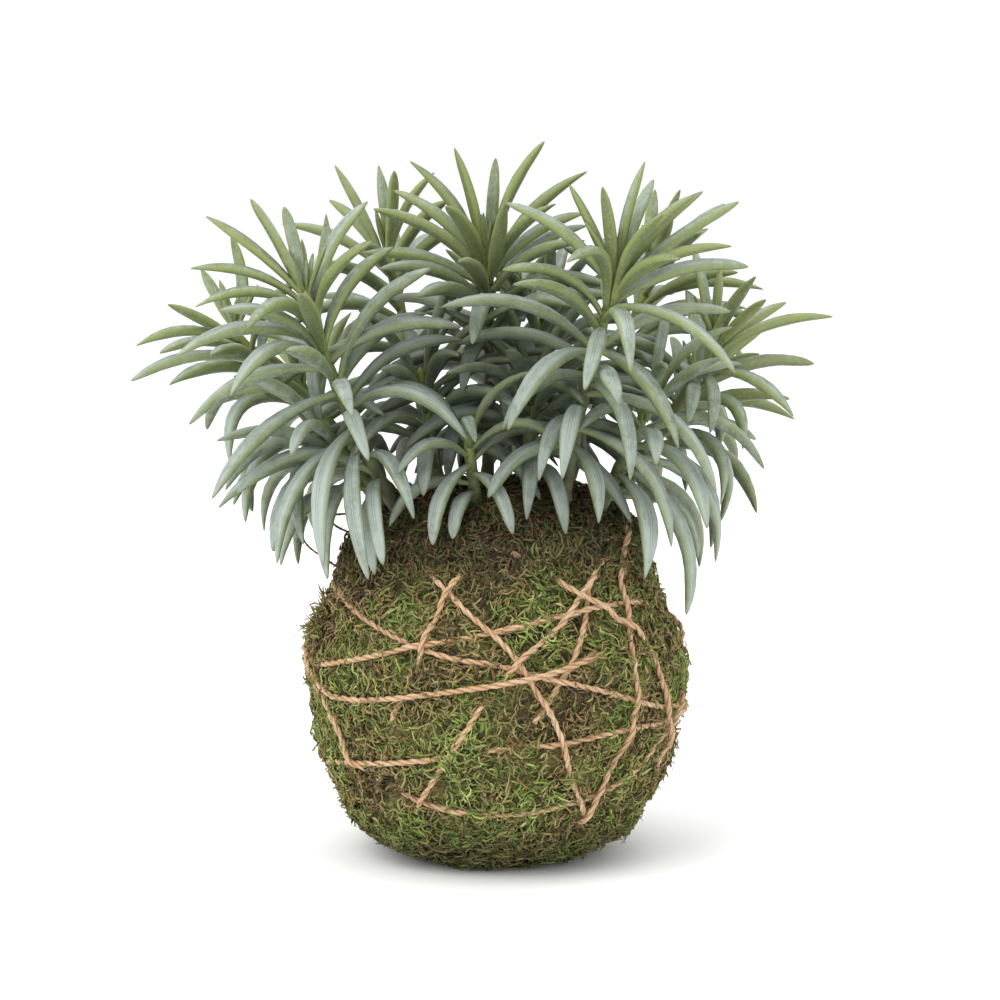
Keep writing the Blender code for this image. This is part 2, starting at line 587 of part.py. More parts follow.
def clear_scene():
    """Removes every object of the open scene."""
    for item in list(bpy.data.objects):
        bpy.data.objects.remove(item, do_unlink=True)


def new_collection(name, hidden=False):
    """A collection in the scene; a hidden one holds cutters and guides."""
    made = bpy.data.collections.new(name)
    bpy.context.scene.collection.children.link(made)
    made.hide_render = hidden
    return made


def new_material(name, colour, roughness):
    """A plain material with the part's colour and roughness."""
    made = bpy.data.materials.new(name)
    made.use_nodes = True
    shader = made.node_tree.nodes["Principled BSDF"]
    shader.inputs["Base Color"].default_value = (*colour, 1)
    shader.inputs["Roughness"].default_value = roughness
    shader.inputs["Metallic"].default_value = 0
    made.diffuse_color = (*colour, 1)
    return made


def link(item, collection, material=None, cutter=False):
    """Puts an object in a collection, with its material, or as a hidden cutter."""
    collection.objects.link(item)
    if material:
        item.data.materials.append(material)
    if cutter:
        item.hide_render = True
        item.display_type = "WIRE"
    return item


def curve_object(name, points, radii, depth, resolution):
    """A tube along points: a poly curve with a round bevel and filled caps."""
    data = bpy.data.curves.new(name, "CURVE")
    data.dimensions = "3D"
    data.bevel_depth = depth
    data.bevel_resolution = resolution
    data.use_fill_caps = True
    spline = data.splines.new("POLY")
    spline.points.add(len(points) - 1)
    for point, place, radius in zip(spline.points, points, radii):
        point.co = (*place, 1)
        point.radius = radius / depth
    spline.use_smooth = True
    return bpy.data.objects.new(name, data)


def mesh_from_curve(curve, name, matrix=None):
    """A closed mesh object in place of a curve object, which is removed."""
    bpy.context.scene.collection.objects.link(curve)
    if matrix:
        curve.matrix_world = matrix
    bpy.context.view_layer.update()
    graph = bpy.context.evaluated_depsgraph_get()
    mesh = bpy.data.meshes.new_from_object(curve.evaluated_get(graph))
    shape = bmesh.new()
    shape.from_mesh(mesh)
    bmesh.ops.remove_doubles(shape, verts=shape.verts, dist=0.01 * MM)
    shape.to_mesh(mesh)
    shape.free()
    made = bpy.data.objects.new(name, mesh)
    made.matrix_world = curve.matrix_world
    bpy.data.objects.remove(curve, do_unlink=True)
    return made


def turned(name, outline, steps, grow=0):
    """A turned solid from a half section, grown outward by a small amount."""
    data = bpy.data.meshes.new(name)
    shape = bmesh.new()
    rows = []
    for radius, height in outline:
        middle = outline[0][1] / 2
        swell = 1 + grow / MM / max(math.hypot(radius, height - middle), 1)
        place = (radius * swell * MM, 0, (middle + (height - middle) * swell) * MM)
        rows.append(shape.verts.new(place))
    for upper, lower in zip(rows[:-1], rows[1:]):
        shape.edges.new((upper, lower))
    shape.to_mesh(data)
    shape.free()
    made = bpy.data.objects.new(name, data)
    screw = made.modifiers.new("turn", "SCREW")
    screw.steps = steps
    screw.render_steps = steps
    screw.use_merge_vertices = True
    screw.merge_threshold = 0.0001
    return made


def combine(item, name, operation, operand):
    """Adds a Boolean modifier with one object or a whole collection."""
    made = item.modifiers.new(name, "BOOLEAN")
    made.operation = operation
    made.solver = "EXACT"
    if isinstance(operand, bpy.types.Collection):
        made.operand_type = "COLLECTION"
        made.collection = operand
    else:
        made.object = operand


def stem_points(line):
    """The stem's centre line with its buried foot, and its radius at each point."""
    shares = np.linspace(0, 1, 6)
    above = np.array([on_line(line, run_of(line)[-1] * (1 - share))[0] for share in shares])
    start = unit(line[1] - line[0])
    bend = above[0] - unit(start + np.array([0, 0, 1])) * ROOT_BEND
    bottom = bend - np.array([0, 0, ROOT_DEPTH - ROOT_BEND])
    points = np.vstack([bottom, bend, above])
    return points, [stem_radius(0)] * 2 + [stem_radius(share) for share in shares]


def stretched(points, by):
    """The points with both ends moved outward."""
    longer = points.copy()
    longer[0] += unit(points[0] - points[1]) * by
    longer[-1] += unit(points[-1] - points[-2]) * by
    return longer


def blade_object(blade, name, section):
    """The leaf's blade: a bevel section swept along its arched centre line."""
    data = bpy.data.curves.new(name, "CURVE")
    data.dimensions = "3D"
    data.bevel_mode = "OBJECT"
    data.bevel_object = section
    data.use_fill_caps = True
    data.twist_mode = "Z_UP"
    spline = data.splines.new("POLY")
    spline.points.add(len(LEAF_RINGS) - 1)
    for point, share, girth in zip(spline.points, LEAF_RINGS, leaf_girth(LEAF_RINGS)):
        arch = 4 * blade.leaf.arch * share * (1 - share)
        point.co = (blade.length * share, 0, blade.length * arch, 1)
        point.radius = girth * blade.half_width
    frame = Matrix.Identity(4)
    for column, axis in enumerate((blade.chord, -blade.side, blade.up, blade.foot)):
        frame.col[column].xyz = Vector(axis)
    return mesh_from_curve(bpy.data.objects.new(name, data), name, frame)


def leaf_section():
    """The closed outline that every leaf is swept from, one unit of half width in size."""
    data = bpy.data.curves.new("leaf section", "CURVE")
    data.dimensions = "2D"
    spline = data.splines.new("POLY")
    spline.points.add(len(LEAF_SECTION) - 1)
    for point, place in zip(spline.points, LEAF_SECTION):
        point.co = (*place, 0, 1)
    spline.use_cyclic_u = True
    return bpy.data.objects.new("leaf section", data)


def sleeve_points(line, blades):
    """The leaf bases' sleeve round the stem, from under the lowest leaf to past the tip, and its radii."""
    lowest = max(blade.leaf.at for blade in blades) * MM
    spots = [on_line(line, at) for at in np.linspace(lowest + SLEEVE_BELOW, 0, 5)]
    points = np.array([spot[0] for spot in spots])
    points[-1] += spots[-1][1] * (FIT_GAP + SLEEVE_CAP)
    return points, [stem_radius(spot[2]) + FIT_GAP + SLEEVE_WALL for spot in spots]


def main():
    """Builds every part of the moss ball plant."""
    clear_scene()
    parts = new_collection("kokedama_moss_ball")
    helpers = new_collection("cutters", hidden=True)
    leaf_green = new_material("leaf_green", (0.25, 0.33, 0.22), 0.55)
    stem_green = new_material("stem_green", (0.09, 0.14, 0.05), 0.6)
    moss_green = new_material("moss_green", (0.10, 0.12, 0.035), 0.95)
    soil_brown = new_material("soil_brown", (0.045, 0.028, 0.016), 0.95)
    jute_tan = new_material("jute_tan", (0.46, 0.32, 0.19), 0.9)

    section = link(leaf_section(), helpers, cutter=True)
    bores = new_collection("stem bores", hidden=True)
    lines, blades = grow_shoots()
    joints = []
    for shoot in SHOOTS:
        line = lines[shoot.name]
        points, radii = stem_points(line)
        stem = curve_object(f"{shoot.name}_stem", points, radii, STEM_FOOT_RADIUS, STEM_SIDES)
        link(stem, parts, stem_green)
        wide = [radius + FIT_GAP for radius in radii]
        bore_curve = curve_object("bore", stretched(points, FIT_GAP), wide, STEM_FOOT_RADIUS, STEM_SIDES)
        bore = link(mesh_from_curve(bore_curve, f"{shoot.name} bore"), bores, cutter=True)
        grown = new_collection(f"{shoot.name} blades", hidden=True)
        for number, blade in enumerate(blades[shoot.name]):
            link(blade_object(blade, f"{shoot.name} blade {number}", section), grown, cutter=True)
        places, girths = sleeve_points(line, blades[shoot.name])
        sleeve_curve = curve_object("sleeve", places, girths, STEM_FOOT_RADIUS, STEM_SIDES)
        leaves = link(mesh_from_curve(sleeve_curve, f"{shoot.name}_leaves"), parts, leaf_green)
        joints.append((leaves, grown, bore))
    for leaves, grown, bore in joints:
        combine(leaves, "blades", "UNION", grown)
        combine(leaves, "stem bore", "DIFFERENCE", bore)

    soil = link(turned("soil_ball", SOIL_OUTLINE, SOIL_STEPS), parts, soil_brown)
    combine(soil, "stem sockets", "DIFFERENCE", bores)
    hollow = link(turned("moss hollow", SOIL_OUTLINE, SOIL_STEPS, FIT_GAP), helpers, cutter=True)
    moss = link(turned("moss_wrap", MOSS_OUTLINE, MOSS_STEPS), parts, moss_green)
    combine(moss, "soil hollow", "DIFFERENCE", hollow)
    combine(moss, "stem holes", "DIFFERENCE", bores)

    twine_points = thinned(*twine_line())
    twine = curve_object("twine", twine_points, [TWINE_RADIUS] * len(twine_points), TWINE_RADIUS, 1)
    link(twine, parts, jute_tan)


main()
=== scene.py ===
"""Kokedama: a clump of leafy succulent shoots planted in a moss ball that is tied with jute twine.

The frame is +Z up, in metres, with the origin at the middle of the flat spot that the ball rests on
and -Y toward the front. Bearings are in degrees round the ball from the front, positive to the right.
"""

import logging
import math
from dataclasses import dataclass, field
from enum import Enum
from typing import Any, NamedTuple, Sequence, Union

import bpy
import numpy as np
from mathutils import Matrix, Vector, kdtree


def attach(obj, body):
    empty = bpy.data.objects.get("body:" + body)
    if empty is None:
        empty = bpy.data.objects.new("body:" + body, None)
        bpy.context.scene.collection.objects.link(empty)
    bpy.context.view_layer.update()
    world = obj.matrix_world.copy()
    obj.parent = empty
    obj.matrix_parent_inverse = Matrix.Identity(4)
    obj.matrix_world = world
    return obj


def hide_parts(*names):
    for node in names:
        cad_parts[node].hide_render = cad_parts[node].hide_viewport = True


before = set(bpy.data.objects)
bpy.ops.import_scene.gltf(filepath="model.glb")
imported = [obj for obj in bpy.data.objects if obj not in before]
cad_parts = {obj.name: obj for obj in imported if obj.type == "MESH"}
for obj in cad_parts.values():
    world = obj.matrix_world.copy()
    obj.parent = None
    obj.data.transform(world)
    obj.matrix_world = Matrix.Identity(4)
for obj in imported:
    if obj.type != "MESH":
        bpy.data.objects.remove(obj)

LOG = logging.getLogger("kokedama")
MM = 0.001
FULL_TURN = 2 * math.pi
BODY = "root"
Array = np.ndarray
Rows = dict[str, Array]
Dice = np.random.Generator
Colour = tuple[float, float, float, float]
Piece = bpy.types.Object
Material = bpy.types.Material
Socket = bpy.types.NodeSocket


class Slot(Enum):
    """The finishes that the pieces are dressed in."""

    LEAF = "leaf_green"
    STEM = "stem_green"
    MOSS = "moss_green"
    SOIL = "soil_brown"
    JUTE = "jute_tan"


# ---- the plant's plan

# Half section of the moss, (radius, height) in millimetres from the top down.
MOSS_OUTLINE = (
    (0, 120),
    (25, 118),
    (38, 113),
    (45, 106),
    (48.4, 98),
    (50.4, 90),
    (54.6, 80.5),
    (59, 69),
    (60, 59),
    (59.2, 49.4),
    (56.6, 36.5),
    (51.8, 23.6),
    (45.4, 10.7),
    (33, 2.6),
    (24, 0),
    (0, 0),
)
FIT_GAP = 0.35 * MM
STEM_FOOT_RADIUS = 2.1 * MM
STEM_TIP_RADIUS = 1.3 * MM
STEM_FOOT_HEIGHT = 113.5 * MM
STEM_POINTS = 60
ROOT_DEPTH = 22 * MM
ROOT_BEND = 5 * MM
SLEEVE_WALL = 0.5 * MM
LEAF_WIDTH = 6.2 * MM
LEAF_THICKNESS = 4.3 * MM
LEAF_YOUNG_SHARE = 0.76  # a leaf's width at the shoot's tip, against a grown one's
LEAF_GROWN_AT = 20  # how far below the tip leaves reach their full width, in mm
# A leaf's girth along its length, as (share of the length, share of the full width).
LEAF_TAPER = (
    (0, 0.38),
    (0.12, 0.56),
    (0.3, 0.88),
    (0.48, 1),
    (0.64, 0.98),
    (0.8, 0.8),
    (0.92, 0.48),
    (1, 0.06),
)
LEAF_GAP = 0.5 * MM
# Plain leaves fill a shoot in rows down its stem. Lengths are in millimetres.
FILL_TRIES = 80  # how many places are tried for the plain leaves of a shoot
FILL_ROWS = 10
FILL_TOP = 8  # how far below the tip the first row is
FILL_BARE = 22  # how much of the stem the rows leave out
FILL_SHORTER = 0.78  # a leaf's share of its full length in the later half of the tries
# Turns and rises, in degrees, and shorter lengths that a leaf tries until it is clear.
NUDGE_SIZES = (4, 8, 12, 17, 23, 30)
NUDGE_DIRECTIONS = 8
NUDGE_SHORTER = (0.85, 0.7)
MOSS_CLEARANCE = 2.8 * MM
TWINE_CLEARANCE = 5.2 * MM
TWINE_ZONE_TOP = 107 * MM
GOLDEN_ANGLE = 137.5
TWINE_RADIUS = 1.0 * MM
TWINE_LIFT = 0.65 * MM
TWINE_STEP = 1.5 * MM
TWINE_REACH = 9 * MM
TWINE_CREST = 1.6 * MM
TWINE_CROSSING_GAP = 0.3 * MM
TWINE_CROSSING_EASE = 1.03
TWINE_OWN_POINTS = 10  # how many points before one belong to the same strand and don't cross it
TWINE_MEAN_RADIUS = 0.92  # the wound twine's mean radius, as a share of the moss's widest
TWINE_LOWEST = 6.5 * MM
TWINE_HIGHEST = 107.5 * MM
TWINE_SUNK = 1.5 * MM
TWINE_HIDDEN_SUNK = 4.4 * MM
TWINE_NECK = 96 * MM  # the moss covers all the twine above this height
# Where moss has grown over the twine: bearings in degrees along the route, and heights in mm.
TWINE_OVERGROWN = (
    (2100, 2210, 0, 26),
    (2100, 2210, 37, 46),
    (2100, 2210, 60, 69),
    (2455, 2515, 0, 51),
    (2455, 2515, 58, 76),
    (703, 716, 40, 46),
    (726, 731, 40, 48),
    (1146, 1205, 0, 100),
    (1391, 1405, 0, 40),
    (1431, 1434, 20, 26),
    (1833, 2125, 0, 21),
    (2955, 3062, 0, 24),
    (2575, 2640, 0, 60),
    (2545, 2640, 0, 20),
    (500, 600, 0, 32),
)
# The twine's route as (bearing, height in millimetres); the bearing grows turn after turn.
TWINE_ROUTE = (
    # starts tucked into the moss in front and climbs to the neck
    ((11, 53), (17, 62), (25, 73), (32, 85), (39, 98), (58, 103), (95, 103), (130, 96)),
    ((165, 84), (205, 76), (245, 82)),
    # falls across the front from the upper left to the right
    ((284, 87), (310, 82), (329, 77), (346, 73), (361, 71), (375, 67), (389, 63), (419, 53)),
    ((441, 49), (475, 40), (520, 30), (570, 24), (615, 24)),
    # low belt
    ((646, 32), (689, 39), (706, 42), (721, 45), (739, 46), (760, 48), (791, 47), (825, 52)),
    ((870, 66), (920, 76), (965, 74)),
    # rises across the front to the right
    ((1005, 64), (1030, 69), (1049, 74), (1066, 78), (1081, 81), (1098, 84), (1117, 86)),
    ((1135, 86), (1170, 74), (1215, 60), (1270, 50), (1330, 60)),
    # lowest belt, which climbs to the neck behind
    ((1377, 52), (1388, 38), (1409, 28), (1424, 24), (1441, 23), (1462, 25), (1493, 34)),
    ((1509, 48), (1528, 62), (1560, 84), (1600, 98), (1650, 103), (1710, 105), (1755, 104)),
    # from the neck down across the front and under the ball's side
    ((1775, 97), (1792, 85), (1805, 74), (1810, 66), (1817, 54), (1824, 36), (1831, 23)),
    ((1843, 13), (1865, 8), (1900, 7), (1960, 10), (2030, 8), (2080, 9), (2122, 14)),
    # back up from the lower left
    ((2136, 29), (2148, 46), (2157, 60), (2166, 71), (2181, 82), (2190, 90), (2203, 99)),
    ((2226, 100), (2270, 98), (2310, 88), (2345, 70), (2385, 50), (2425, 24), (2452, 16)),
    # steeply up the left of the front
    ((2471, 24), (2482, 38), (2487, 52), (2494, 66), (2499, 80), (2503, 92), (2512, 102)),
    ((2540, 106), (2590, 104), (2625, 90), (2640, 64), (2636, 38), (2615, 18), (2588, 10)),
    # steeply up the right of the front
    ((2566, 11), (2551, 20), (2557, 32), (2563, 45), (2565, 57), (2568, 78), (2571, 94)),
    ((2585, 106), (2640, 101), (2720, 94), (2800, 100), (2865, 107)),
    # down over the right shoulder
    ((2897, 100), (2909, 90), (2921, 83), (2932, 76), (2939, 64), (2942, 50), (2950, 30)),
    ((2975, 13), (3020, 10), (3060, 18), (3100, 38), (3135, 60)),
    # last run, which ends free in front
    ((3160, 66), (3172, 58), (3192, 57), (3210, 60), (3227, 63), (3243, 66), (3259, 69)),
    ((3271, 72),),
)


class Leaf(NamedTuple):
    """One leaf: how far below the shoot's tip it grows in mm, the bearing and rise of its chord in
    degrees, the chord's length in mm, and how far it arches up as a share of that length."""

    at: float
    bearing: float
    rise: float
    length: float
    arch: float


class Shoot(NamedTuple):
    """One shoot: its foot in mm, tip in mm, sideways bow in mm, leaves to fill in, and its leaves."""

    name: str
    foot: tuple[float, float]
    tip: tuple[float, float, float]
    bow: tuple[float, float]
    fill: int
    leaves: tuple[tuple[float, float, float, float, float], ...]


SHOOTS = (
    Shoot("front_left", (-31, -20), (-58, -46, 185), (-3, 3), 7, (
        (1, -80, 40, 37, 0.05), (2, -60, 60, 34, 0.04), (1, -140, 68, 27, 0.02),
        (4, -75, 18, 36, 0.12), (6, -62, 8, 36, 0.14), (4, 160, 62, 28, -0.12),
        (7, 110, 62, 36, 0.12), (13, -30, 5, 36, 0.22), (18, -75, -5, 43, 0.16),
        (20, -8, 30, 38, 0.06), (19, 112, 52, 36, 0.14), (25, -45, -12, 38, 0.26),
        (28, -88, -20, 45, 0.14), (30, -18, 18, 38, 0.06), (33, 65, 48, 47, 0.14),
        (35, 118, 30, 36, 0.16), (37, -68, -38, 50, 0.12), (43, 60, -10, 43, 0.24),
        (46, 12, -15, 34, 0.2), (50, -15, -52, 48, 0.2), (53, -50, -50, 47, 0.18),
        (55, 8, -55, 47, 0.2), (57, 75, 34, 44, 0.2), (41, 100, 28, 40, 0.16),
        (60, 32, 0, 32, 0.28), (64, -72, -25, 42, 0.2), (69, 5, -38, 36, 0.25))),
    Shoot("far_left", (-37, -2), (-83, -12, 170), (0, 0), 5, (
        (1, -165, 72, 30, -0.12), (2, -140, 45, 27, 0.05), (3, -60, 28, 26, 0.04),
        (5, -75, 0, 32, 0.16), (7, -45, 2, 34, 0.1), (11, -85, -10, 38, 0.12),
        (13, -25, 10, 30, 0.1), (22, -130, -30, 34, 0.2), (28, -38, -35, 30, 0.32),
        (33, -125, -62, 38, 0.2), (36, 38, -8, 32, 0.2), (41, -60, -50, 36, 0.22),
        (44, -10, -62, 38, 0.18), (52, -115, -45, 36, 0.25))),
    Shoot("back_left", (-20, 20), (-37, 36, 193), (2, 0), 8, (
        (1, -140, 80, 27, 0.02), (2, 20, 76, 27, 0.02), (3, 105, 60, 30, 0.1),
        (2, -95, 62, 32, 0.03), (5, -130, 40, 31, 0.08), (8, -95, 25, 37, 0.1),
        (11, -15, 22, 33, 0.1), (14, -110, 5, 37, 0.14), (12, 60, 35, 34, 0.1),
        (16, 160, 30, 36, 0.12), (24, -75, -5, 38, 0.18), (30, -140, -15, 42, 0.2),
        (36, 170, -15, 42, 0.22), (45, -110, -35, 44, 0.22))),
    Shoot("middle", (-3, 6), (-3, -8, 195), (1, 2), 13, (
        (4, -75, 55, 39, 0.08), (1, -60, 74, 34, 0.03), (2, 150, 82, 30, 0), (3, 80, 66, 40, 0.08),
        (7, 82, 46, 43, 0.1), (8, -68, 30, 42, 0.1), (6, -110, 38, 38, 0.1), (10, 12, 50, 34, 0),
        (9, 112, 30, 38, 0.12), (14, -15, 22, 34, 0.08), (13, 62, 26, 36, 0.12),
        (12, -100, 14, 40, 0.1), (17, -75, 18, 36, 0.14), (18, 100, 6, 38, 0.16),
        (23, 5, -18, 36, 0.25), (27, -50, 15, 36, 0.2), (33, 0, -22, 32, 0.3),
        (38, -62, -18, 42, 0.22), (43, 38, -38, 34, 0.3), (47, 52, -52, 36, 0.28),
        (50, -30, -40, 40, 0.26), (54, 5, -40, 36, 0.28))),
    Shoot("front_right", (21, -22), (38, -42, 191), (-2, 2), 6, (
        (6, -72, 38, 42, 0.1), (3, -60, 64, 31, 0.03), (2, -15, 66, 30, 0.02),
        (1, 75, 76, 34, 0.05), (2, 135, 62, 32, 0.05), (4, 118, 50, 38, 0.08), (5, 72, 48, 37, 0.1),
        (6, 100, 38, 45, 0.05), (8, 84, 24, 39, 0.12), (10, 38, 26, 34, 0.14),
        (11, 108, 12, 45, 0.12), (12, 62, -24, 45, 0.14), (15, -65, 24, 36, 0.16),
        (11, -25, 25, 33, 0.3), (16, 12, -25, 33, 0.28), (20, -12, -30, 32, 0.15),
        (27, -82, 16, 48, 0.16), (28, -48, -32, 41, 0.22), (27, 48, -42, 42, 0.15),
        (36, -56, -22, 34, 0.2), (38, 28, -48, 37, 0.24), (42, 72, -48, 50, 0.2),
        (47, 12, -46, 36, 0.24), (50, -24, -28, 34, 0.2), (54, 68, -50, 46, 0.2),
        (60, 24, -52, 27, 0.2), (60, -56, -26, 34, 0.18), (73, -60, -38, 33, 0.18))),
    Shoot("far_right", (38, 0), (71, -6, 166), (0, 0), 5, (
        (3, -150, 76, 33, 0.05), (1, 50, 84, 24, 0), (3, 38, 38, 29, 0.03), (2, 118, 28, 28, 0.08),
        (4, 82, 20, 38, 0.1), (10, 66, -8, 32, 0.14), (12, 5, -8, 26, 0.2), (15, -20, -8, 30, 0.1),
        (21, 64, -40, 24, 0.36), (25, 138, -38, 24, 0.34), (33, 48, -50, 30, 0.34),
        (34, 115, -56, 36, 0.3), (40, 62, -60, 36, 0.24), (45, 20, -52, 34, 0.24))),
    Shoot("back_right", (22, 22), (52, 34, 186), (0, 0), 8, (
        (1, 60, 70, 28, 0.02), (2, 170, 62, 30, 0.04), (3, 110, 45, 34, 0.08),
        (5, 20, 50, 30, 0.08), (8, 140, 30, 38, 0.1), (11, 85, 6, 38, 0.12), (13, 60, 20, 36, 0.1),
        (17, 76, -6, 40, 0.14), (22, 165, 5, 40, 0.16), (27, 110, -15, 42, 0.2),
        (34, 60, -25, 42, 0.22), (40, 150, -30, 42, 0.22), (47, 95, -45, 44, 0.24))),
    Shoot("front_middle", (-6, -24), (-9, -32, 141), (0, 0), 0, (
        (1, 62, 42, 30, 0.14), (2, -85, 36, 28, 0.16), (4, 5, 8, 26, 0.26), (6, 76, -2, 31, 0.28),
        (8, -48, -8, 28, 0.24), (10, 112, 10, 32, 0.2), (12, -32, -56, 30, 0.16),
        (15, 35, -38, 26, 0.24), (18, -75, -28, 28, 0.24), (21, -18, -54, 22, 0.16))),
    Shoot("inner_left", (-17, -7), (-24, -12, 158), (0, 0), 9, (
        (1, 60, 72, 30, 0.04), (3, 120, 52, 38, 0.1), (5, -60, 50, 32, 0.1), (7, 75, 36, 42, 0.12),
        (10, 20, 30, 34, 0.18), (13, 105, 22, 42, 0.16), (17, 45, 5, 38, 0.22),
        (21, -40, -5, 34, 0.24), (25, 85, -12, 40, 0.24), (31, 20, -30, 36, 0.26),
        (37, 70, -35, 36, 0.26))),
    Shoot("inner_right", (9, -8), (12, -14, 156), (0, 0), 9, (
        (1, -60, 70, 30, 0.04), (3, 60, 55, 34, 0.1), (5, -90, 40, 38, 0.12),
        (8, 100, 35, 36, 0.14), (11, -45, 22, 38, 0.18), (14, 30, 12, 34, 0.24),
        (18, -80, 2, 40, 0.22), (22, 70, -10, 38, 0.24), (26, -20, -25, 36, 0.26),
        (31, 35, -38, 36, 0.26), (37, -60, -35, 36, 0.26))),
    Shoot("inner_back", (10, 12), (15, 20, 172), (0, 0), 9, (
        (1, 20, 74, 28, 0.03), (3, 150, 60, 32, 0.06), (5, -110, 48, 34, 0.08),
        (7, 80, 40, 36, 0.1), (10, 175, 28, 38, 0.14), (14, 120, 12, 40, 0.18),
        (19, -160, 0, 40, 0.2), (25, 95, -16, 42, 0.22), (31, 165, -28, 42, 0.22),
        (38, -120, -34, 40, 0.24))),
    Shoot("low_right", (33, -14), (50, -22, 152), (0, 0), 5, (
        (1, 150, 68, 28, 0.04), (3, 70, 45, 34, 0.14), (6, 10, 30, 30, 0.2), (9, 120, 25, 36, 0.18),
        (12, -40, 0, 30, 0.22), (15, 85, -15, 40, 0.26), (19, 40, -35, 40, 0.24),
        (23, 100, -52, 44, 0.26), (27, 66, -66, 50, 0.2), (30, 20, -55, 36, 0.22),
        (35, 60, -40, 34, 0.26), (38, 110, -35, 36, 0.26))),
    Shoot("low_left", (-34, -10), (-56, -26, 143), (0, 0), 6, (
        (1, -160, 68, 26, 0.04), (3, -60, 35, 32, 0.14), (6, -130, 25, 32, 0.18),
        (9, -20, 0, 32, 0.24), (12, -85, -20, 36, 0.26), (16, -50, -45, 38, 0.24),
        (20, -110, -48, 38, 0.24), (24, -25, -55, 36, 0.24), (29, -75, -42, 36, 0.26),
        (33, 20, -50, 34, 0.24))),
    Shoot("back_middle", (3, 32), (6, 54, 170), (0, 0), 8, (
        (1, 10, 78, 27, 0.02), (2, -150, 68, 30, 0.04), (3, 110, 55, 32, 0.06),
        (5, -80, 50, 33, 0.08), (7, 170, 40, 36, 0.1), (10, 60, 25, 34, 0.12),
        (13, -120, 18, 38, 0.14), (17, 140, 5, 40, 0.16), (22, -165, -12, 42, 0.2),
        (28, 100, -18, 40, 0.22), (34, 175, -35, 44, 0.24), (41, -110, -40, 42, 0.24),
        (47, 145, -50, 42, 0.24))),
    Shoot("back_far_left", (-33, 14), (-66, 34, 148), (0, 0), 4, (
        (1, -60, 74, 26, 0.02), (2, 160, 62, 30, 0.05), (4, -120, 48, 32, 0.08),
        (7, -50, 35, 33, 0.12), (10, 175, 22, 36, 0.14), (14, -95, 5, 38, 0.18),
        (19, -150, -15, 42, 0.22), (25, -75, -30, 40, 0.24), (31, 165, -38, 42, 0.24),
        (38, -120, -52, 42, 0.24))),
    Shoot("back_far_right", (34, 18), (68, 36, 146), (0, 0), 4, (
        (1, 40, 74, 26, 0.02), (2, 170, 60, 30, 0.05), (4, 110, 46, 32, 0.08),
        (7, 50, 34, 33, 0.12), (10, 150, 20, 36, 0.14), (14, 90, 2, 38, 0.18),
        (19, 140, -18, 42, 0.22), (25, 70, -32, 40, 0.24), (31, 175, -38, 42, 0.24),
        (38, 115, -52, 42, 0.24))),
)


# ---- shared geometry


def unit(vector: Array) -> Array:
    """The vector at length one."""
    return vector / np.linalg.norm(vector)


def units(vectors: Array) -> Array:
    """Each vector of an array, along its last axis, at length one."""
    return vectors / np.maximum(np.linalg.norm(vectors, axis=-1, keepdims=True), 1e-12)


def heading(bearing: float, rise: float) -> Array:
    """The direction with this bearing and rise, both in degrees."""
    turn, lift = math.radians(bearing), math.radians(rise)
    level = math.cos(lift)
    return np.array([math.sin(turn) * level, -math.cos(turn) * level, math.sin(lift)])


def outline_radius(height: Array) -> Array:
    """The moss outline's radius at a height, both in metres."""
    radii = [radius * MM for radius, _ in MOSS_OUTLINE[::-1]]
    heights = [z * MM for _, z in MOSS_OUTLINE[::-1]]
    return np.interp(height, heights[1:], radii[1:])


def run_of(points: Array) -> Array:
    """The distance along a line of points, from its first point."""
    return np.concatenate([[0], np.cumsum(np.linalg.norm(np.diff(points, axis=0), axis=1))])


def read_along(places: Array, run: Array, rows: Array) -> Array:
    """The rows of numbers that belong to distances along a line."""
    return np.stack([np.interp(places, run, column) for column in rows.T], axis=1)


def softened(rows: Array, reach: int) -> Array:
    """Rows of numbers, each averaged with its neighbours out to a reach on both sides."""
    window = np.hanning(2 * reach + 1)
    padded = np.pad(rows, ((reach, reach), (0, 0)), mode="edge")
    columns = [np.convolve(column, window / window.sum(), "valid") for column in padded.T]
    return np.stack(columns, axis=1)


def smooth_step(low: float, high: float, value: Array) -> Array:
    """Zero below low, one above high and an S curve between them."""
    share = np.clip((value - low) / (high - low), 0, 1)
    return share * share * (3 - 2 * share)


class Waves:
    """A smooth random field in space, made of a few sine waves, from about -1 to 1."""

    COUNT = 9  # how many waves are added up

    def __init__(self, seed: int, length: float) -> None:
        """Draws the waves.

        Args:
            seed: Which field it is.
            length: The usual distance from one hump to the next, in metres.
        """
        dice = np.random.default_rng(seed)
        self.ways = units(dice.normal(size=(self.COUNT, 3))) * FULL_TURN / length
        self.ways *= dice.uniform(0.6, 1.7, (self.COUNT, 1))
        self.phases = dice.uniform(0, FULL_TURN, self.COUNT)

    def at(self, points: Array) -> Array:
        """The field's value at points, whose last axis is XYZ."""
        return np.sin(points @ self.ways.T + self.phases).sum(-1) / math.sqrt(self.COUNT)


# ---- where stems and leaves grow


def stem_line(shoot: Shoot) -> Array:
    """The points of a stem's centre line above the moss, from foot to tip."""
    foot = np.array([*shoot.foot, STEM_FOOT_HEIGHT / MM]) * MM
    tip = np.array(shoot.tip) * MM
    control = (foot + tip) / 2 + 2 * np.array([*shoot.bow, 0]) * MM
    t = np.linspace(0, 1, STEM_POINTS)[:, None]
    return (1 - t) ** 2 * foot + 2 * t * (1 - t) * control + t * t * tip


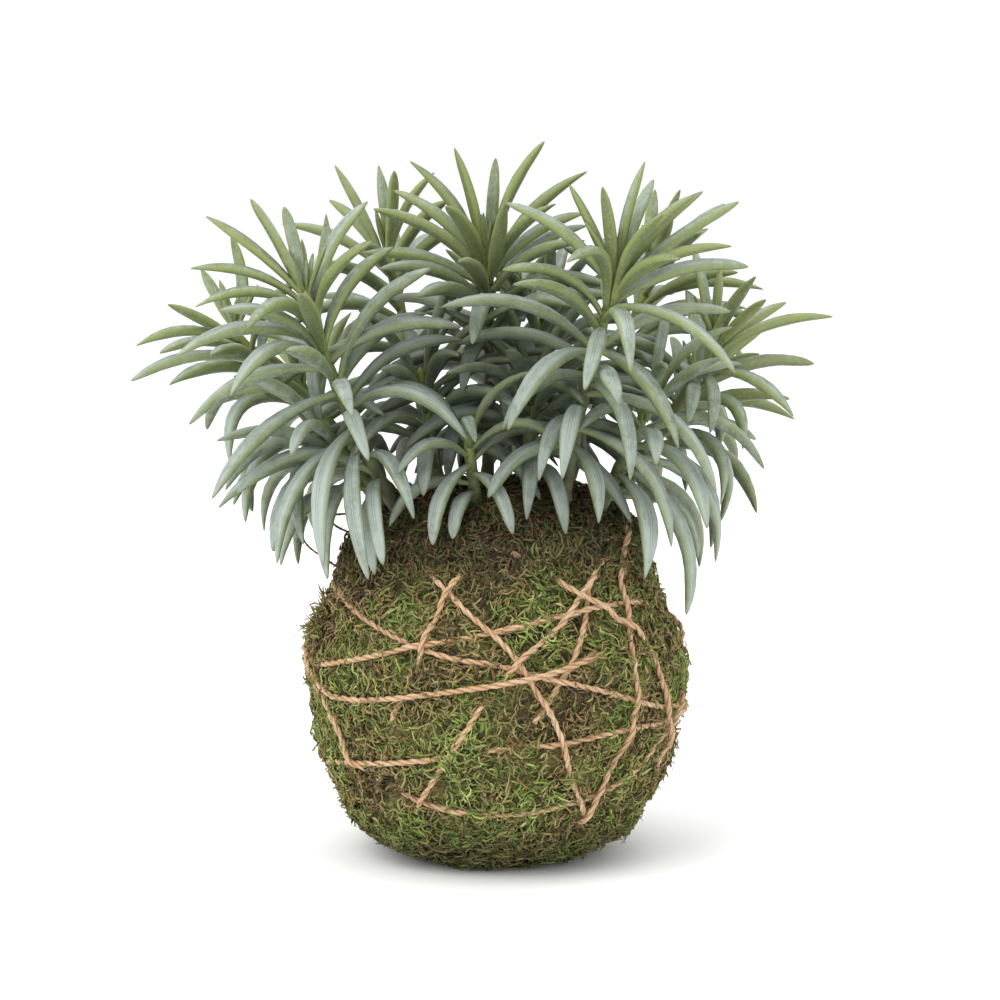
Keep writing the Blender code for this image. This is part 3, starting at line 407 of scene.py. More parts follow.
def on_line(line: Array, at: float) -> tuple[Array, Array, float]:
    """Finds a place on a stem.

    Args:
        line: The stem's points, from foot to tip.
        at: The place's distance below the tip, in metres.

    Returns:
        The point, the stem's direction there and the share of the way from its foot.
    """
    run = run_of(line)
    place = run[-1] - at
    point = np.array([np.interp(place, run, line[:, axis]) for axis in range(3)])
    step = min(max(int(np.searchsorted(run, place)) - 1, 0), len(line) - 2)
    return point, unit(line[step + 1] - line[step]), place / run[-1]


def stem_radius(share: float) -> float:
    """The stem's radius at a share of the way from its foot to its tip."""
    return STEM_FOOT_RADIUS + (STEM_TIP_RADIUS - STEM_FOOT_RADIUS) * np.clip(share, 0, 1)


def leaf_girth(shares: Array) -> Array:
    """The leaf's width at shares of its length, as a share of its full width."""
    return np.interp(shares, [t for t, _ in LEAF_TAPER], [girth for _, girth in LEAF_TAPER])


class Blade:
    """A leaf's plane curve in space: a chord from its foot, arched toward its upper face."""

    def __init__(self, line: Array, leaf: Leaf) -> None:
        """Places the leaf on a stem.

        Args:
            line: The stem's points, from foot to tip.
            leaf: The leaf as planned.
        """
        spot, axis, share = on_line(line, leaf.at * MM)
        self.leaf = leaf
        self.chord = heading(leaf.bearing, leaf.rise)
        aside = self.chord - (self.chord @ axis) * axis
        self.out = unit(aside)
        lean = axis + np.array([0, 0, 1]) + 0.15 * self.out
        self.up = unit(lean - (lean @ self.chord) * self.chord)
        self.side = np.cross(self.chord, self.up)
        self.foot = spot + self.out * (stem_radius(share) + FIT_GAP + 0.1 * MM)
        self.length = leaf.length * MM
        grown = LEAF_YOUNG_SHARE + (1 - LEAF_YOUNG_SHARE) * min(1, leaf.at / LEAF_GROWN_AT)
        size = grown * (0.75 + 0.25 * min(1, leaf.length / 40))
        self.half_width = LEAF_WIDTH / 2 * size
        self.half_thickness = LEAF_THICKNESS / 2 * size

    def points(self, shares: Array) -> Array:
        """The centre line at shares of its length."""
        t = np.asarray(shares, float)[:, None]
        return self.foot + self.length * (t * self.chord + 4 * self.leaf.arch * t * (1 - t) * self.up)

    def headings(self, shares: Array) -> Array:
        """The centre line's directions at shares of its length."""
        t = np.asarray(shares, float)[:, None]
        return units(self.chord + 4 * self.leaf.arch * (1 - 2 * t) * self.up)


SAMPLE_SHARES = np.linspace(0.1, 1, 18)  # where a leaf's samples are, as shares of its length
SAMPLE_HALF_STEP = 0.8 * MM
OWN_SHOOT_FREE = 0.28  # the share of a leaf that may touch its own shoot
MOSS_FREE = 0.3  # the share of a leaf that may touch the moss
CROWD_MARGIN = 8 * MM
WORST_ROOM = -0.2 * MM


class Crowd:
    """Flat round samples of everything that has grown, so that a new leaf can keep clear of it."""

    def __init__(self) -> None:
        """Starts with nothing grown."""
        self.rows = np.zeros((0, 15))

    def add(self, samples: Sequence[Array], owner: int) -> None:
        """Adds samples; owner is the number of the shoot that they grow on."""
        owners = np.full(len(samples[0]), owner, float)
        self.rows = np.vstack([self.rows, np.column_stack([*samples, owners])])

    def near(self, points: Array, margin: float) -> Array:
        """The samples within a margin of the points' box."""
        above = self.rows[:, :3] > points.min(0) - margin
        below = self.rows[:, :3] < points.max(0) + margin
        return self.rows[(above & below).all(1)]

    @staticmethod
    def of_blade(blade: Blade) -> tuple[Array, ...]:
        """Samples along a blade.

        Args:
            blade: The blade.

        Returns:
            Their points, sides, tops, headings, half widths and half thicknesses.
        """
        points = blade.points(SAMPLE_SHARES)
        ahead = blade.headings(SAMPLE_SHARES)
        sides = np.repeat(blade.side[None], len(points), axis=0)
        girth = leaf_girth(SAMPLE_SHARES)
        width, thickness = girth * blade.half_width, girth * blade.half_thickness
        return points, sides, np.cross(sides, ahead), ahead, width, thickness


def room_over_moss(points: Array) -> Array:
    """How far points lie outside the moss.

    Args:
        points: The points.

    Returns:
        Each one's distance from the outline, negative inside it.
    """
    place = np.stack([np.hypot(points[:, 0], points[:, 1]), points[:, 2]], axis=1)
    outline = np.array(MOSS_OUTLINE, float) * MM
    least = np.full(len(points), np.inf)
    for start, end in zip(outline[:-1], outline[1:]):
        along = end - start
        share = np.clip((place - start) @ along / (along @ along), 0, 1)
        least = np.minimum(least, np.linalg.norm(place - start - share[:, None] * along, axis=1))
    below_top = (place[:, 1] > 0) & (place[:, 1] < MOSS_OUTLINE[0][1] * MM)
    inside = below_top & (place[:, 0] < outline_radius(place[:, 1]))
    return np.where(inside, -least, least)


def reach_toward(directions: Array, axes: Sequence[Array]) -> Array:
    """How far flat round samples reach in each direction.

    Args:
        directions: The directions, of length one.
        axes: The samples' sides, tops and headings, half width and half thickness.

    Returns:
        The reach in metres.
    """
    sides, tops, ahead, width, thickness = axes
    across = (directions * sides).sum(-1) * width
    through = (directions * tops).sum(-1) * thickness
    along = (directions * ahead).sum(-1) * SAMPLE_HALF_STEP
    return np.sqrt(across**2 + through**2 + along**2)


def room_for(blade: Blade, crowd: Crowd, owner: int) -> float:
    """How much room there is round a blade.

    Args:
        blade: The blade.
        crowd: All that has grown.
        owner: The number of the blade's shoot.

    Returns:
        The least room beyond the gap that leaves keep; negative is too close.
    """
    points, *axes = Crowd.of_blade(blade)
    clearance = np.where(points[:, 2] < TWINE_ZONE_TOP, TWINE_CLEARANCE, MOSS_CLEARANCE)
    over_moss = (room_over_moss(points) - axes[-1] - clearance)[SAMPLE_SHARES > MOSS_FREE].min()
    rows = crowd.near(points, CROWD_MARGIN)
    if not len(rows):
        return over_moss
    between = rows[None, :, :3] - points[:, None]
    distance = np.linalg.norm(between, axis=2) + 1e-9
    toward = between / distance[..., None]
    mine = reach_toward(toward, [values[:, None] for values in axes])
    others = [rows[:, 3:6], rows[:, 6:9], rows[:, 9:12], rows[:, 12], rows[:, 13]]
    room = distance - mine - reach_toward(toward, others) - LEAF_GAP
    own_base = (rows[None, :, 14] == owner) & (SAMPLE_SHARES[:, None] < OWN_SHOOT_FREE)
    return min(over_moss, np.where(own_base, np.inf, room).min())


def nudges() -> list[tuple[float, float, float]]:
    """Small turns and rises to try, nearest first, then the nearer ones with a shorter leaf."""
    turns = [number * FULL_TURN / NUDGE_DIRECTIONS for number in range(NUDGE_DIRECTIONS)]
    ways = [(math.cos(turn), math.sin(turn)) for turn in turns]
    plain = [(0.0, 0.0)] + [(size * x, size * y) for size in NUDGE_SIZES for x, y in ways]
    near = plain[: 1 + NUDGE_DIRECTIONS * (len(NUDGE_SIZES) - 2)]
    shorter = [(turn, lift, size) for size in NUDGE_SHORTER for turn, lift in near]
    return [(turn, lift, 1) for turn, lift in plain] + shorter


class Plant:
    """Where every stem and leaf grows."""

    def __init__(self) -> None:
        """Grows the shoots one leaf at a time, the crowns first."""
        self.crowd = Crowd()
        self.nudges = nudges()
        self.lines = {shoot.name: stem_line(shoot) for shoot in SHOOTS}
        self.blades: dict[str, list[Blade]] = {shoot.name: [] for shoot in SHOOTS}
        for owner, shoot in enumerate(SHOOTS):
            self._add_stem(owner, self.lines[shoot.name])
        order = sorted(
            (row[0], owner, index)
            for owner, shoot in enumerate(SHOOTS)
            for index, row in enumerate(shoot.leaves)
        )
        for _, owner, index in order:
            self._grow(owner, Leaf(*SHOOTS[owner].leaves[index]), True)
        for owner, shoot in enumerate(SHOOTS):
            self._fill(owner, shoot)

    def _add_stem(self, owner: int, line: Array) -> None:
        """Adds a stem to the crowd."""
        ahead = units(np.gradient(line, axis=0))
        sides = units(np.cross(ahead, [0, 1, 0]))
        girth = np.full(len(line), STEM_FOOT_RADIUS + FIT_GAP + SLEEVE_WALL)
        self.crowd.add((line, sides, np.cross(sides, ahead), ahead, girth, girth), owner)

    def _grow(self, owner: int, leaf: Leaf, required: bool) -> bool:
        """Grows a leaf, nudged until it is clear.

        Args:
            owner: The number of its shoot.
            leaf: The leaf as planned.
            required: Whether it may grow where it is a little too close.

        Returns:
            Whether it grew.
        """
        name = SHOOTS[owner].name
        best_room, best = -np.inf, None
        steepness = max(0.35, math.cos(math.radians(leaf.rise)))
        for turn, lift, size in self.nudges:
            nudged = leaf._replace(
                bearing=leaf.bearing + turn / steepness,
                rise=min(88, max(-85, leaf.rise + lift)),
                length=leaf.length * size,
            )
            blade = Blade(self.lines[name], nudged)
            room = room_for(blade, self.crowd, owner)
            if room > best_room:
                best_room, best = room, blade
            if room >= 0:
                break
        if best_room < 0 and (not required or best_room < WORST_ROOM):
            return False
        self.crowd.add(Crowd.of_blade(best), owner)
        self.blades[name].append(best)
        return True

    def _fill(self, owner: int, shoot: Shoot) -> None:
        """Grows further leaves down a shoot wherever there is room.

        Args:
            owner: The number of the shoot.
            shoot: The shoot as planned.
        """
        span = run_of(self.lines[shoot.name])[-1] / MM - FILL_BARE
        added = 0
        for number in range(FILL_TRIES):
            if added == shoot.fill:
                break
            down = number % FILL_ROWS / FILL_ROWS
            fullness = 1 if number < FILL_TRIES / 2 else FILL_SHORTER
            plain = Leaf(
                at=FILL_TOP + span * down,
                bearing=GOLDEN_ANGLE * number + 40,
                rise=40 - 85 * down,
                length=fullness * (36 + 6 * math.sin(math.pi * down)),
                arch=0.1 + 0.12 * down,
            )
            added += self._grow(owner, plain, False)


# ---- where the twine runs


class TwinePath:
    """The twine's centre line round the ball, lifted over each strand that it crosses."""

    def __init__(self) -> None:
        """Works out the points, the outward direction at each and the lift over what lies below."""
        self.turn, rise = self._samples()
        base, self.out = self._on_moss(self.turn, rise)
        run = run_of(base)
        spacing = (2 * TWINE_RADIUS + TWINE_CROSSING_GAP) * TWINE_CROSSING_EASE
        later, earlier, apart = [], [], []
        for index in range(TWINE_OWN_POINTS + 2, len(base)):
            distance = np.linalg.norm(base[: index - TWINE_OWN_POINTS] - base[index], axis=1)
            for other in np.nonzero(distance < spacing)[0]:
                later.append(index)
                earlier.append(other)
                apart.append(distance[other])
        over = np.sqrt(spacing**2 - np.array(apart) ** 2)
        lowest = TWINE_RADIUS + TWINE_LIFT
        height = np.full(len(base), lowest)
        for _ in range(10):
            need = np.full(len(base), lowest)
            np.maximum.at(need, later, height[earlier] + over)
            lifted = np.full(len(base), lowest)
            for index in np.nonzero(need > lowest + 1e-6)[0]:
                away = np.abs(run - run[index])
                share = np.where(away < TWINE_REACH, np.cos(away / TWINE_REACH * math.pi / 2) ** 2, 0)
                share[away < TWINE_CREST] = 1
                lifted = np.maximum(lifted, lowest + (need[index] - lowest) * share)
            if np.allclose(lifted, height, atol=1e-6):
                break
            height = lifted
        self.hidden = self._overgrown(base[:, 2])
        sunk = TWINE_SUNK + (TWINE_HIDDEN_SUNK - TWINE_SUNK) * self.hidden
        self.points = base + self.out * (height - sunk)[:, None]

    def _overgrown(self, height: Array) -> Array:
        """Where the moss has grown over the twine.

        Args:
            height: The height of each of its points.

        Returns:
            How far each point is overgrown, from 0 to 1.
        """
        turn = np.degrees(self.turn)
        covered = height > TWINE_NECK
        for first, last, low, high in TWINE_OVERGROWN:
            there = (turn > first) & (turn < last) & (height > low * MM) & (height < high * MM)
            covered = covered | there
        return softened(covered.astype(float)[:, None], 3)[:, 0]

    @staticmethod
    def _samples() -> tuple[Array, Array]:
        """Draws a smooth curve through the route.

        Returns:
            Bearings in radians and heights in metres along it.
        """
        stops = np.array([stop for run in TWINE_ROUTE for stop in run], float)
        turn = np.radians(stops[:, 0])
        height = stops[:, 1] * MM
        widest = max(radius for radius, _ in MOSS_OUTLINE) * MM
        knots = run_of(np.stack([turn * TWINE_MEAN_RADIUS * widest, height], axis=1))
        places = np.linspace(0, knots[-1], int(knots[-1] / TWINE_STEP))

        def eased(values: Array) -> Array:
            """The values at the places, eased through every stop."""
            slopes = np.gradient(values, knots)
            step = np.clip(np.searchsorted(knots, places, side="right") - 1, 0, len(knots) - 2)
            width = knots[step + 1] - knots[step]
            t = (places - knots[step]) / width
            start = (2 * t**3 - 3 * t**2 + 1) * values[step]
            leaving = (t**3 - 2 * t**2 + t) * width * slopes[step]
            end = (3 * t**2 - 2 * t**3) * values[step + 1]
            arriving = (t**3 - t**2) * width * slopes[step + 1]
            return start + leaving + end + arriving

        return eased(turn), np.clip(eased(height), TWINE_LOWEST, TWINE_HIGHEST)

    @staticmethod
    def _on_moss(turn: Array, height: Array) -> tuple[Array, Array]:
        """Finds places on the moss outline.

        Args:
            turn: Their bearings in radians.
            height: Their heights.

        Returns:
            The points and the outward directions.
        """
        reach = 3 * MM
        low = np.maximum(height - reach, 0)
        high = np.minimum(height + reach, MOSS_OUTLINE[0][1] * MM)
        slope = (outline_radius(high) - outline_radius(low)) / (high - low)
        radius = outline_radius(height)
        across, toward = np.sin(turn), -np.cos(turn)
        out = units(np.stack([across, toward, -slope], axis=1))
        return np.stack([radius * across, radius * toward, height], axis=1), out


# ---- shapes that are modelled once


@dataclass(frozen=True)
class Pattern:
    """A shape that lies along +X from 0 to 1, modelled once and copied many times.

    Attributes:
        points: Its vertices.
        corners: The vertex at each face corner.
        starts: The first corner of each face.
        chart: The flat map at each corner, (round the section, along), both from 0 to 1.
    """

    points: Array
    corners: Array
    starts: Array
    chart: Array


def new_rod(stations: Sequence[float], sides: int) -> Pattern:
    """Models a rod: a disc at the first station, extruded from station to station to a point.

    Args:
        stations: Places along X of the section's rings.
        sides: How many corners the section has.

    Returns:
        The rod, with a section of radius one.
    """
    bpy.ops.mesh.primitive_circle_add(
        vertices=sides,
        radius=1,
        fill_type="NGON",
        location=(stations[0], 0, 0),
        rotation=(0, math.pi / 2, 0),
    )
    rod = bpy.context.object
    bpy.ops.object.transform_apply(location=True, rotation=True, scale=True)
    bpy.ops.object.mode_set(mode="EDIT")
    bpy.ops.mesh.select_all(action="SELECT")
    for here, there in zip(stations[:-1], stations[1:]):
        bpy.ops.mesh.extrude_region_move(
            TRANSFORM_OT_translate={"value": (there - here, 0, 0), "orient_type": "GLOBAL"}
        )
    bpy.ops.mesh.merge(type="CENTER")
    bpy.ops.mesh.select_all(action="SELECT")
    bpy.ops.mesh.normals_make_consistent(inside=False)
    bpy.ops.object.mode_set(mode="OBJECT")
    pattern = pattern_of(rod.data)
    mesh = rod.data
    bpy.data.objects.remove(rod, do_unlink=True)
    bpy.data.meshes.remove(mesh)
    return pattern


def pattern_of(mesh: bpy.types.Mesh) -> Pattern:
    """Reads a mesh as a pattern, with a flat map that unrolls it round the X axis.

    Args:
        mesh: A closed mesh that lies along the X axis.

    Returns:
        The pattern.
    """
    points = np.empty(len(mesh.vertices) * 3)
    mesh.vertices.foreach_get("co", points)
    points = points.reshape(-1, 3)
    corners = np.empty(len(mesh.loops), int)
    mesh.loops.foreach_get("vertex_index", corners)
    starts = np.empty(len(mesh.polygons), int)
    mesh.polygons.foreach_get("loop_start", starts)
    low, high = points[:, 0].min(), points[:, 0].max()
    round_x = (np.arctan2(points[:, 1], points[:, 2]) / FULL_TURN) % 1
    chart = np.stack([round_x, (points[:, 0] - low) / (high - low)], axis=1)[corners]
    on_axis = np.hypot(points[:, 1], points[:, 2])[corners] < 1e-6
    for start, end in zip(starts, np.append(starts[1:], len(corners))):
        rows = chart[start:end]
        if np.ptp(rows[:, 1]) < 1e-6:
            continue
        rows[(rows[:, 0] < 0.3) & (rows[:, 0].max() > 0.7), 0] += 1
        own = on_axis[start:end]
        rows[own, 0] = rows[~own, 0].mean()
    return Pattern(points, corners, starts, chart)


def ring_pattern(stations: int, sides: int) -> Pattern:
    """A long closed tube of many rings, for cord.

    Args:
        stations: How many rings it has.
        sides: How many corners a ring has.

    Returns:
        The tube, with radius one, along X from 0 to 1.
    """
    turn = np.arange(sides) / sides * FULL_TURN
    ring = np.stack([np.zeros(sides), np.sin(turn), np.cos(turn)], axis=1)
    points = (ring[None] + np.linspace(0, 1, stations)[:, None, None] * [1, 0, 0]).reshape(-1, 3)
    row, side = np.meshgrid(np.arange(stations - 1), np.arange(sides), indexing="ij")
    here, there = row * sides + side, row * sides + (side + 1) % sides
    quads = np.stack([here, here + sides, there + sides, there], axis=-1).reshape(-1, 4)
    ends = np.stack([np.arange(sides), (stations - 1) * sides + np.arange(sides)[::-1]])
    corners = np.concatenate([quads.ravel(), ends.ravel()])
    starts = np.concatenate([np.arange(len(quads)) * 4, len(quads) * 4 + np.arange(2) * sides])
    across = np.stack([side, side, side + 1, side + 1], axis=-1) / sides
    along = np.stack([row, row + 1, row + 1, row], axis=-1) / (stations - 1)
    chart = np.stack([across, along], axis=-1).reshape(-1, 2)
    caps = np.concatenate([np.zeros(sides), np.ones(sides)])
    cap_chart = np.stack([np.tile(np.arange(sides) / sides, 2), caps], axis=1)
    return Pattern(points, corners, starts, np.vstack([chart, cap_chart]))


MAP = "OFBake"  # the name of a piece's flat map
FEW_COPIES = 60  # fewer copies than this lie in one row of the map


def copied(name: str, pattern: Pattern, places: Array) -> Piece:
    """One mesh object with a copy of a pattern for each row of places.

    Args:
        name: The piece's name.
        pattern: The shape that is copied.
        places: Where each copy's vertices go, copies by vertices by XYZ.

    Returns:
        The object, linked to the scene, with each copy in a cell of its own on the map.
    """
    copies, count = places.shape[:2]
    step = np.arange(copies)[:, None]
    mesh = bpy.data.meshes.new(name)
    mesh.vertices.add(copies * count)
    mesh.vertices.foreach_set("co", np.ascontiguousarray(places, np.float32).ravel())
    corners = (pattern.corners[None] + step * count).ravel()
    mesh.loops.add(len(corners))
    mesh.loops.foreach_set("vertex_index", corners.astype(np.int32))
    starts = (pattern.starts[None] + step * len(pattern.corners)).ravel()
    mesh.polygons.add(len(starts))
    mesh.polygons.foreach_set("loop_start", starts.astype(np.int32))
    mesh.polygons.foreach_set("use_smooth", np.full(len(starts), True))
    chart = mesh.uv_layers.new(name=MAP)
    chart.data.foreach_set("uv", charted(pattern, copies).astype(np.float32).ravel())
    mesh.update(calc_edges=True)
    piece = bpy.data.objects.new(name, mesh)
    bpy.context.scene.collection.objects.link(piece)
    return piece


def charted(pattern: Pattern, copies: int) -> Array:
    """The flat map of all copies: a grid of cells, or one row where there are only a few copies.

    Args:
        pattern: The shape that is copied.
        copies: How many copies there are.

    Returns:
        The map at each corner.
    """
    columns = copies if copies < FEW_COPIES else math.ceil(math.sqrt(copies))
    rows = math.ceil(copies / columns)
    number = np.arange(copies)
    corner = np.stack([number % columns / columns, number // columns / rows], axis=1)
    inside = 0.06 + 0.88 * np.clip(pattern.chart, 0, 1.25) / [1.25, 1]
    return (corner[:, None] + inside[None] / [columns, rows]).reshape(-1, 2)


def tag(piece: Piece, name: str, values: Array) -> None:
    """Stores three numbers at every vertex, which the piece's material reads by name."""
    data = piece.data.attributes.new(name, "FLOAT_VECTOR", "POINT")
    data.data.foreach_set("vector", np.ascontiguousarray(values, np.float32).ravel())


def dressed(piece: Piece, finish: Material, node: str) -> Piece:
    """Gives a piece its finish and lets it stand for a node of the part.

    Args:
        piece: The piece.
        finish: Its material.
        node: The name of the node.

    Returns:
        The piece, which rides on the body.
    """
    piece.data.materials.append(finish)
    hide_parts(node)
    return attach(piece, BODY)


def bent(pattern: Pattern, centres: Array, sides: Array, tops: Array, sizes: Array) -> Array:
    """The pattern's vertices bent along lines.

    Args:
        pattern: The shape along +X, with Y across and Z through it.
        centres: The line's point at each vertex, copies by vertices by XYZ.
        sides: The direction that Y takes there.
        tops: The direction that Z takes there.
        sizes: The scale across, copies by vertices, or one for each copy.

    Returns:
        The vertices, copies by vertices by XYZ.
    """
    across = pattern.points[None, :, 1, None] * sizes[..., None]
    through = pattern.points[None, :, 2, None] * sizes[..., None]
    return centres + sides * across + tops * through


# ---- finishes


def srgb(red: int, green: int, blue: int) -> Colour:
    """A colour given as it looks, from 0 to 255, as the linear values that nodes take."""
    shares = [value / 255 for value in (red, green, blue)]
    linear = [s / 12.92 if s <= 0.04045 else ((s + 0.055) / 1.055) ** 2.4 for s in shares]
    return (linear[0], linear[1], linear[2], 1.0)


Number = Union[float, "Value"]


class Value:
    """A node's output that adds Math nodes when it is used in a sum."""

    def __init__(self, tree: "Tree", socket: Socket) -> None:
        """Wraps a socket of a tree."""
        self.tree = tree
        self.socket = socket

    def _math(self, operation: str, *terms: Number) -> "Value":
        """The output of a Math node with these terms."""
        made = self.tree.node("Math", {"operation": operation}, dict(enumerate(terms)))
        return Value(self.tree, made.outputs[0])

    def __add__(self, other: Number) -> "Value":
        """The sum."""
        return self._math("ADD", self, other)

    def __radd__(self, other: Number) -> "Value":
        """The sum, with the other term first."""
        return self._math("ADD", other, self)

    def __sub__(self, other: Number) -> "Value":
        """The difference."""
        return self._math("SUBTRACT", self, other)

    def __rsub__(self, other: Number) -> "Value":
        """The difference, with the other term first."""
        return self._math("SUBTRACT", other, self)

    def __mul__(self, other: Number) -> "Value":
        """The product."""
        return self._math("MULTIPLY", self, other)

    def __abs__(self) -> "Value":
        """The size without its sign."""
        return self._math("ABSOLUTE", self)

    def stepped(self, low: float, high: float) -> "Value":
        """Zero at low, one at high, with an S curve between them; low may be the larger."""
        made = self.tree.node(
            "MapRange",
            {"interpolation_type": "SMOOTHSTEP"},
            {"Value": self, "From Min": low, "From Max": high},
        )
        return Value(self.tree, made.outputs["Result"])


class Tree:
    """One material's nodes: an output, a Principled shader and what is added."""

    def __init__(self, name: str) -> None:
        """Makes the material with its shader."""
        self.material = bpy.data.materials.new(name)
        self.material.use_nodes = True
        self.nodes = self.material.node_tree.nodes
        self.links = self.material.node_tree.links
        self.shader = self.nodes["Principled BSDF"]

    def node(
        self,
        kind: str,
        settings: dict[str, Any] | None = None,
        inputs: dict[str | int, Any] | None = None,
    ) -> bpy.types.Node:
        """Adds a node.

        Args:
            kind: The node's type, without the ShaderNode that it starts with.
            settings: Its properties; "stops" gives a ramp's (place, colour) pairs.
            inputs: Values or outputs for its sockets, by name or number.

        Returns:
            The node.
        """
        made = self.nodes.new("ShaderNode" + kind)
        for key, setting in (settings or {}).items():
            if key == "stops":
                self._set_stops(made.color_ramp, setting)
            else:
                setattr(made, key, setting)
        for key, value in (inputs or {}).items():
            self._feed(made.inputs[key], value)
        return made

    @staticmethod
    def _set_stops(ramp: bpy.types.ColorRamp, stops: Sequence[tuple[float, Colour]]) -> None:
        """Gives a ramp its stops."""
        while len(ramp.elements) < len(stops):
            ramp.elements.new(0.5)
        for element, (place, colour) in zip(ramp.elements, stops):
            element.position = place
            element.color = colour

    def _feed(self, socket: Socket, value: Any) -> None:
        """Links an output to a socket, or sets the socket's own value."""
        if isinstance(value, Value):
            self.links.new(value.socket, socket)
        elif isinstance(value, Socket):
            self.links.new(value, socket)
        else:
            socket.default_value = value

    def own_place(self) -> Socket:
        """The point on the piece, in metres in the frame."""
        return self.node("TexCoord").outputs["Object"]

    def tagged(self, name: str) -> tuple["Value", "Value", "Value"]:
        """The three numbers stored on the piece under a name."""
        read = self.node("Attribute", {"attribute_name": name})
        parts = self.node("SeparateXYZ", None, {0: read.outputs["Vector"]})
        return tuple(Value(self, parts.outputs[axis]) for axis in range(3))

    def spot(self, x: Number, y: Number, z: Number) -> Socket:
        """A vector of three numbers."""
        return self.node("CombineXYZ", None, {0: x, 1: y, 2: z}).outputs[0]

    def noise(self, place: Socket, scale: float, detail: float = 2) -> Value:
        """Cloudy noise from 0 to 1 at a place."""
        inputs = {"Vector": place, "Scale": scale, "Detail": detail}
        return Value(self, self.node("TexNoise", None, inputs).outputs[0])

    def mixed(self, share: Number, first: Any, second: Any) -> Socket:
        """A colour between two, first where the share is 0 and second where it is 1."""
        settings = {"data_type": "RGBA", "clamp_factor": True}
        return self.node("Mix", settings, {0: share, 6: first, 7: second}).outputs[2]

    def ramp(self, share: Number, stops: Sequence[tuple[float, Colour]]) -> Socket:
        """A colour looked up along a row of stops."""
        return self.node("ValToRGB", {"stops": stops}, {0: share}).outputs[0]

    def finish(self, colour: Any, roughness: Any, height: Value, depth: float) -> Material:
        """Feeds the shader.

        Args:
            colour: The colour, as a link.
            roughness: The roughness, as a number or a link.
            height: The height of the surface's fine relief, from 0 to 1.
            depth: How deep the relief is, in metres.

        Returns:
            The finished material.
        """
        bump = self.node("Bump", None, {"Height": height, "Distance": depth})
        self._feed(self.shader.inputs["Base Color"], colour)
        self._feed(self.shader.inputs["Roughness"], roughness)
        self._feed(self.shader.inputs["Normal"], bump.outputs[0])
        return self.material


@dataclass(frozen=True)
class LeafFinish:
    """A fleshy leaf: green under a pale waxy bloom, yellow-green at its edges and when young, with
    painted shade deep in the crown.
    """

    young: Colour = srgb(106, 117, 68)
    grown: Colour = srgb(72, 86, 66)
    edge: Colour = srgb(140, 152, 86)
    fleck: Colour = srgb(142, 152, 90)
    bloom: Colour = srgb(160, 171, 162)
    vein: Colour = srgb(88, 104, 98)
    tip: Colour = srgb(130, 124, 82)
    shade: Colour = srgb(34, 42, 34)
    streak_depth: float = 0.3 * MM

    def build(self) -> Material:
        """Reads leaf_place (along, across, upper) and leaf_mood (age, seed, depth in the crown for
        painted shade).

        Returns:
            The material.
        """
        tree = Tree(Slot.LEAF.value)
        along, across, upper = tree.tagged("leaf_place")
        age, seed, depth = tree.tagged("leaf_mood")
        streaks = tree.noise(tree.spot(along * 2.2, across * 6, seed * 40), 3.2, 4)
        ribs = tree.noise(tree.spot(along * 0.8, across * 22, seed * 70), 2.0, 2)
        patches = tree.noise(tree.own_place(), 230, 4)
        side = abs(across)
        # The upper face gets more bloom and so is paler: partly the real waxy coat, partly painted light
        # on the lit upper face against the shaded underside.
        top = upper.stepped(-0.35, 0.5)
        specks = tree.noise(tree.own_place(), 1100, 3)
        dust = (streaks - 0.5) * 1.1 + (patches - 0.5) * 1.2
        dust = dust + (ribs - 0.5) * age * 0.9 + (specks - 0.5) * 0.45
        # Painted shade: leaves deep within the crown get less bloom.
        cover = 0.16 + age * 0.56 + dust + (top - 0.6) * 0.5 + (seed - 0.5) * 0.4 - depth * 0.15
        plain = tree.mixed(age * 1.1, self.young, self.grown)
        green = tree.mixed(specks.stepped(0.4, 0.72) * (0.5 - age * 0.25), plain, self.fleck)
        rim = side.stepped(0.78, 0.97) * (0.8 - age * 0.35) + along.stepped(0.16, 0.0) * 0.45
        coated = tree.mixed(cover.stepped(-0.05, 1.1) * (1 - rim * 0.6), green, self.bloom)
        rimmed = tree.mixed(rim * 0.75, coated, self.edge)
        lines = (side - 0.2).stepped(0.1, 0.0) * (0.2 - side).stepped(0.14, 0.02)
        veined = tree.mixed(lines * top * along.stepped(1, 0.6) * 0.5, rimmed, self.vein)
        tipped = tree.mixed(along.stepped(0.95, 1.0) * 0.7, veined, self.tip)
        # Painted shade: leaves deep within the crown are darkened toward the shade colour.
        colour = tree.mixed(depth * 0.48, tipped, self.shade)
        roughness = 0.5 + cover * 0.14
        return tree.finish(colour, roughness, streaks * 0.5 + patches * 0.5, self.streak_depth)


@dataclass(frozen=True)
class StemFinish:
    """A soft stem: olive green, browner toward the foot, with pale scars where leaves have dropped."""

    green: Colour = srgb(76, 86, 52)
    foot: Colour = srgb(62, 56, 36)
    scar: Colour = srgb(106, 112, 76)
    tip: Colour = srgb(126, 140, 58)
    grain_depth: float = 0.3 * MM

    def build(self) -> Material:
        """Reads stem_place (along, scar, seed).

        Returns:
            The material.
        """
        tree = Tree(Slot.STEM.value)
        along, scar, seed = tree.tagged("stem_place")
        mottle = tree.noise(tree.own_place(), 420, 4)
        body = tree.mixed(along.stepped(0.45, 0.15) + (mottle - 0.5), self.green, self.foot)
        fresh = tree.mixed(along.stepped(0.55, 0.95) * 0.85, body, self.tip)
        colour = tree.mixed(scar * (0.35 + mottle * 0.7 + seed * 0.1), fresh, self.scar)
        return tree.finish(colour, 0.5 + mottle * 0.2, mottle, self.grain_depth)


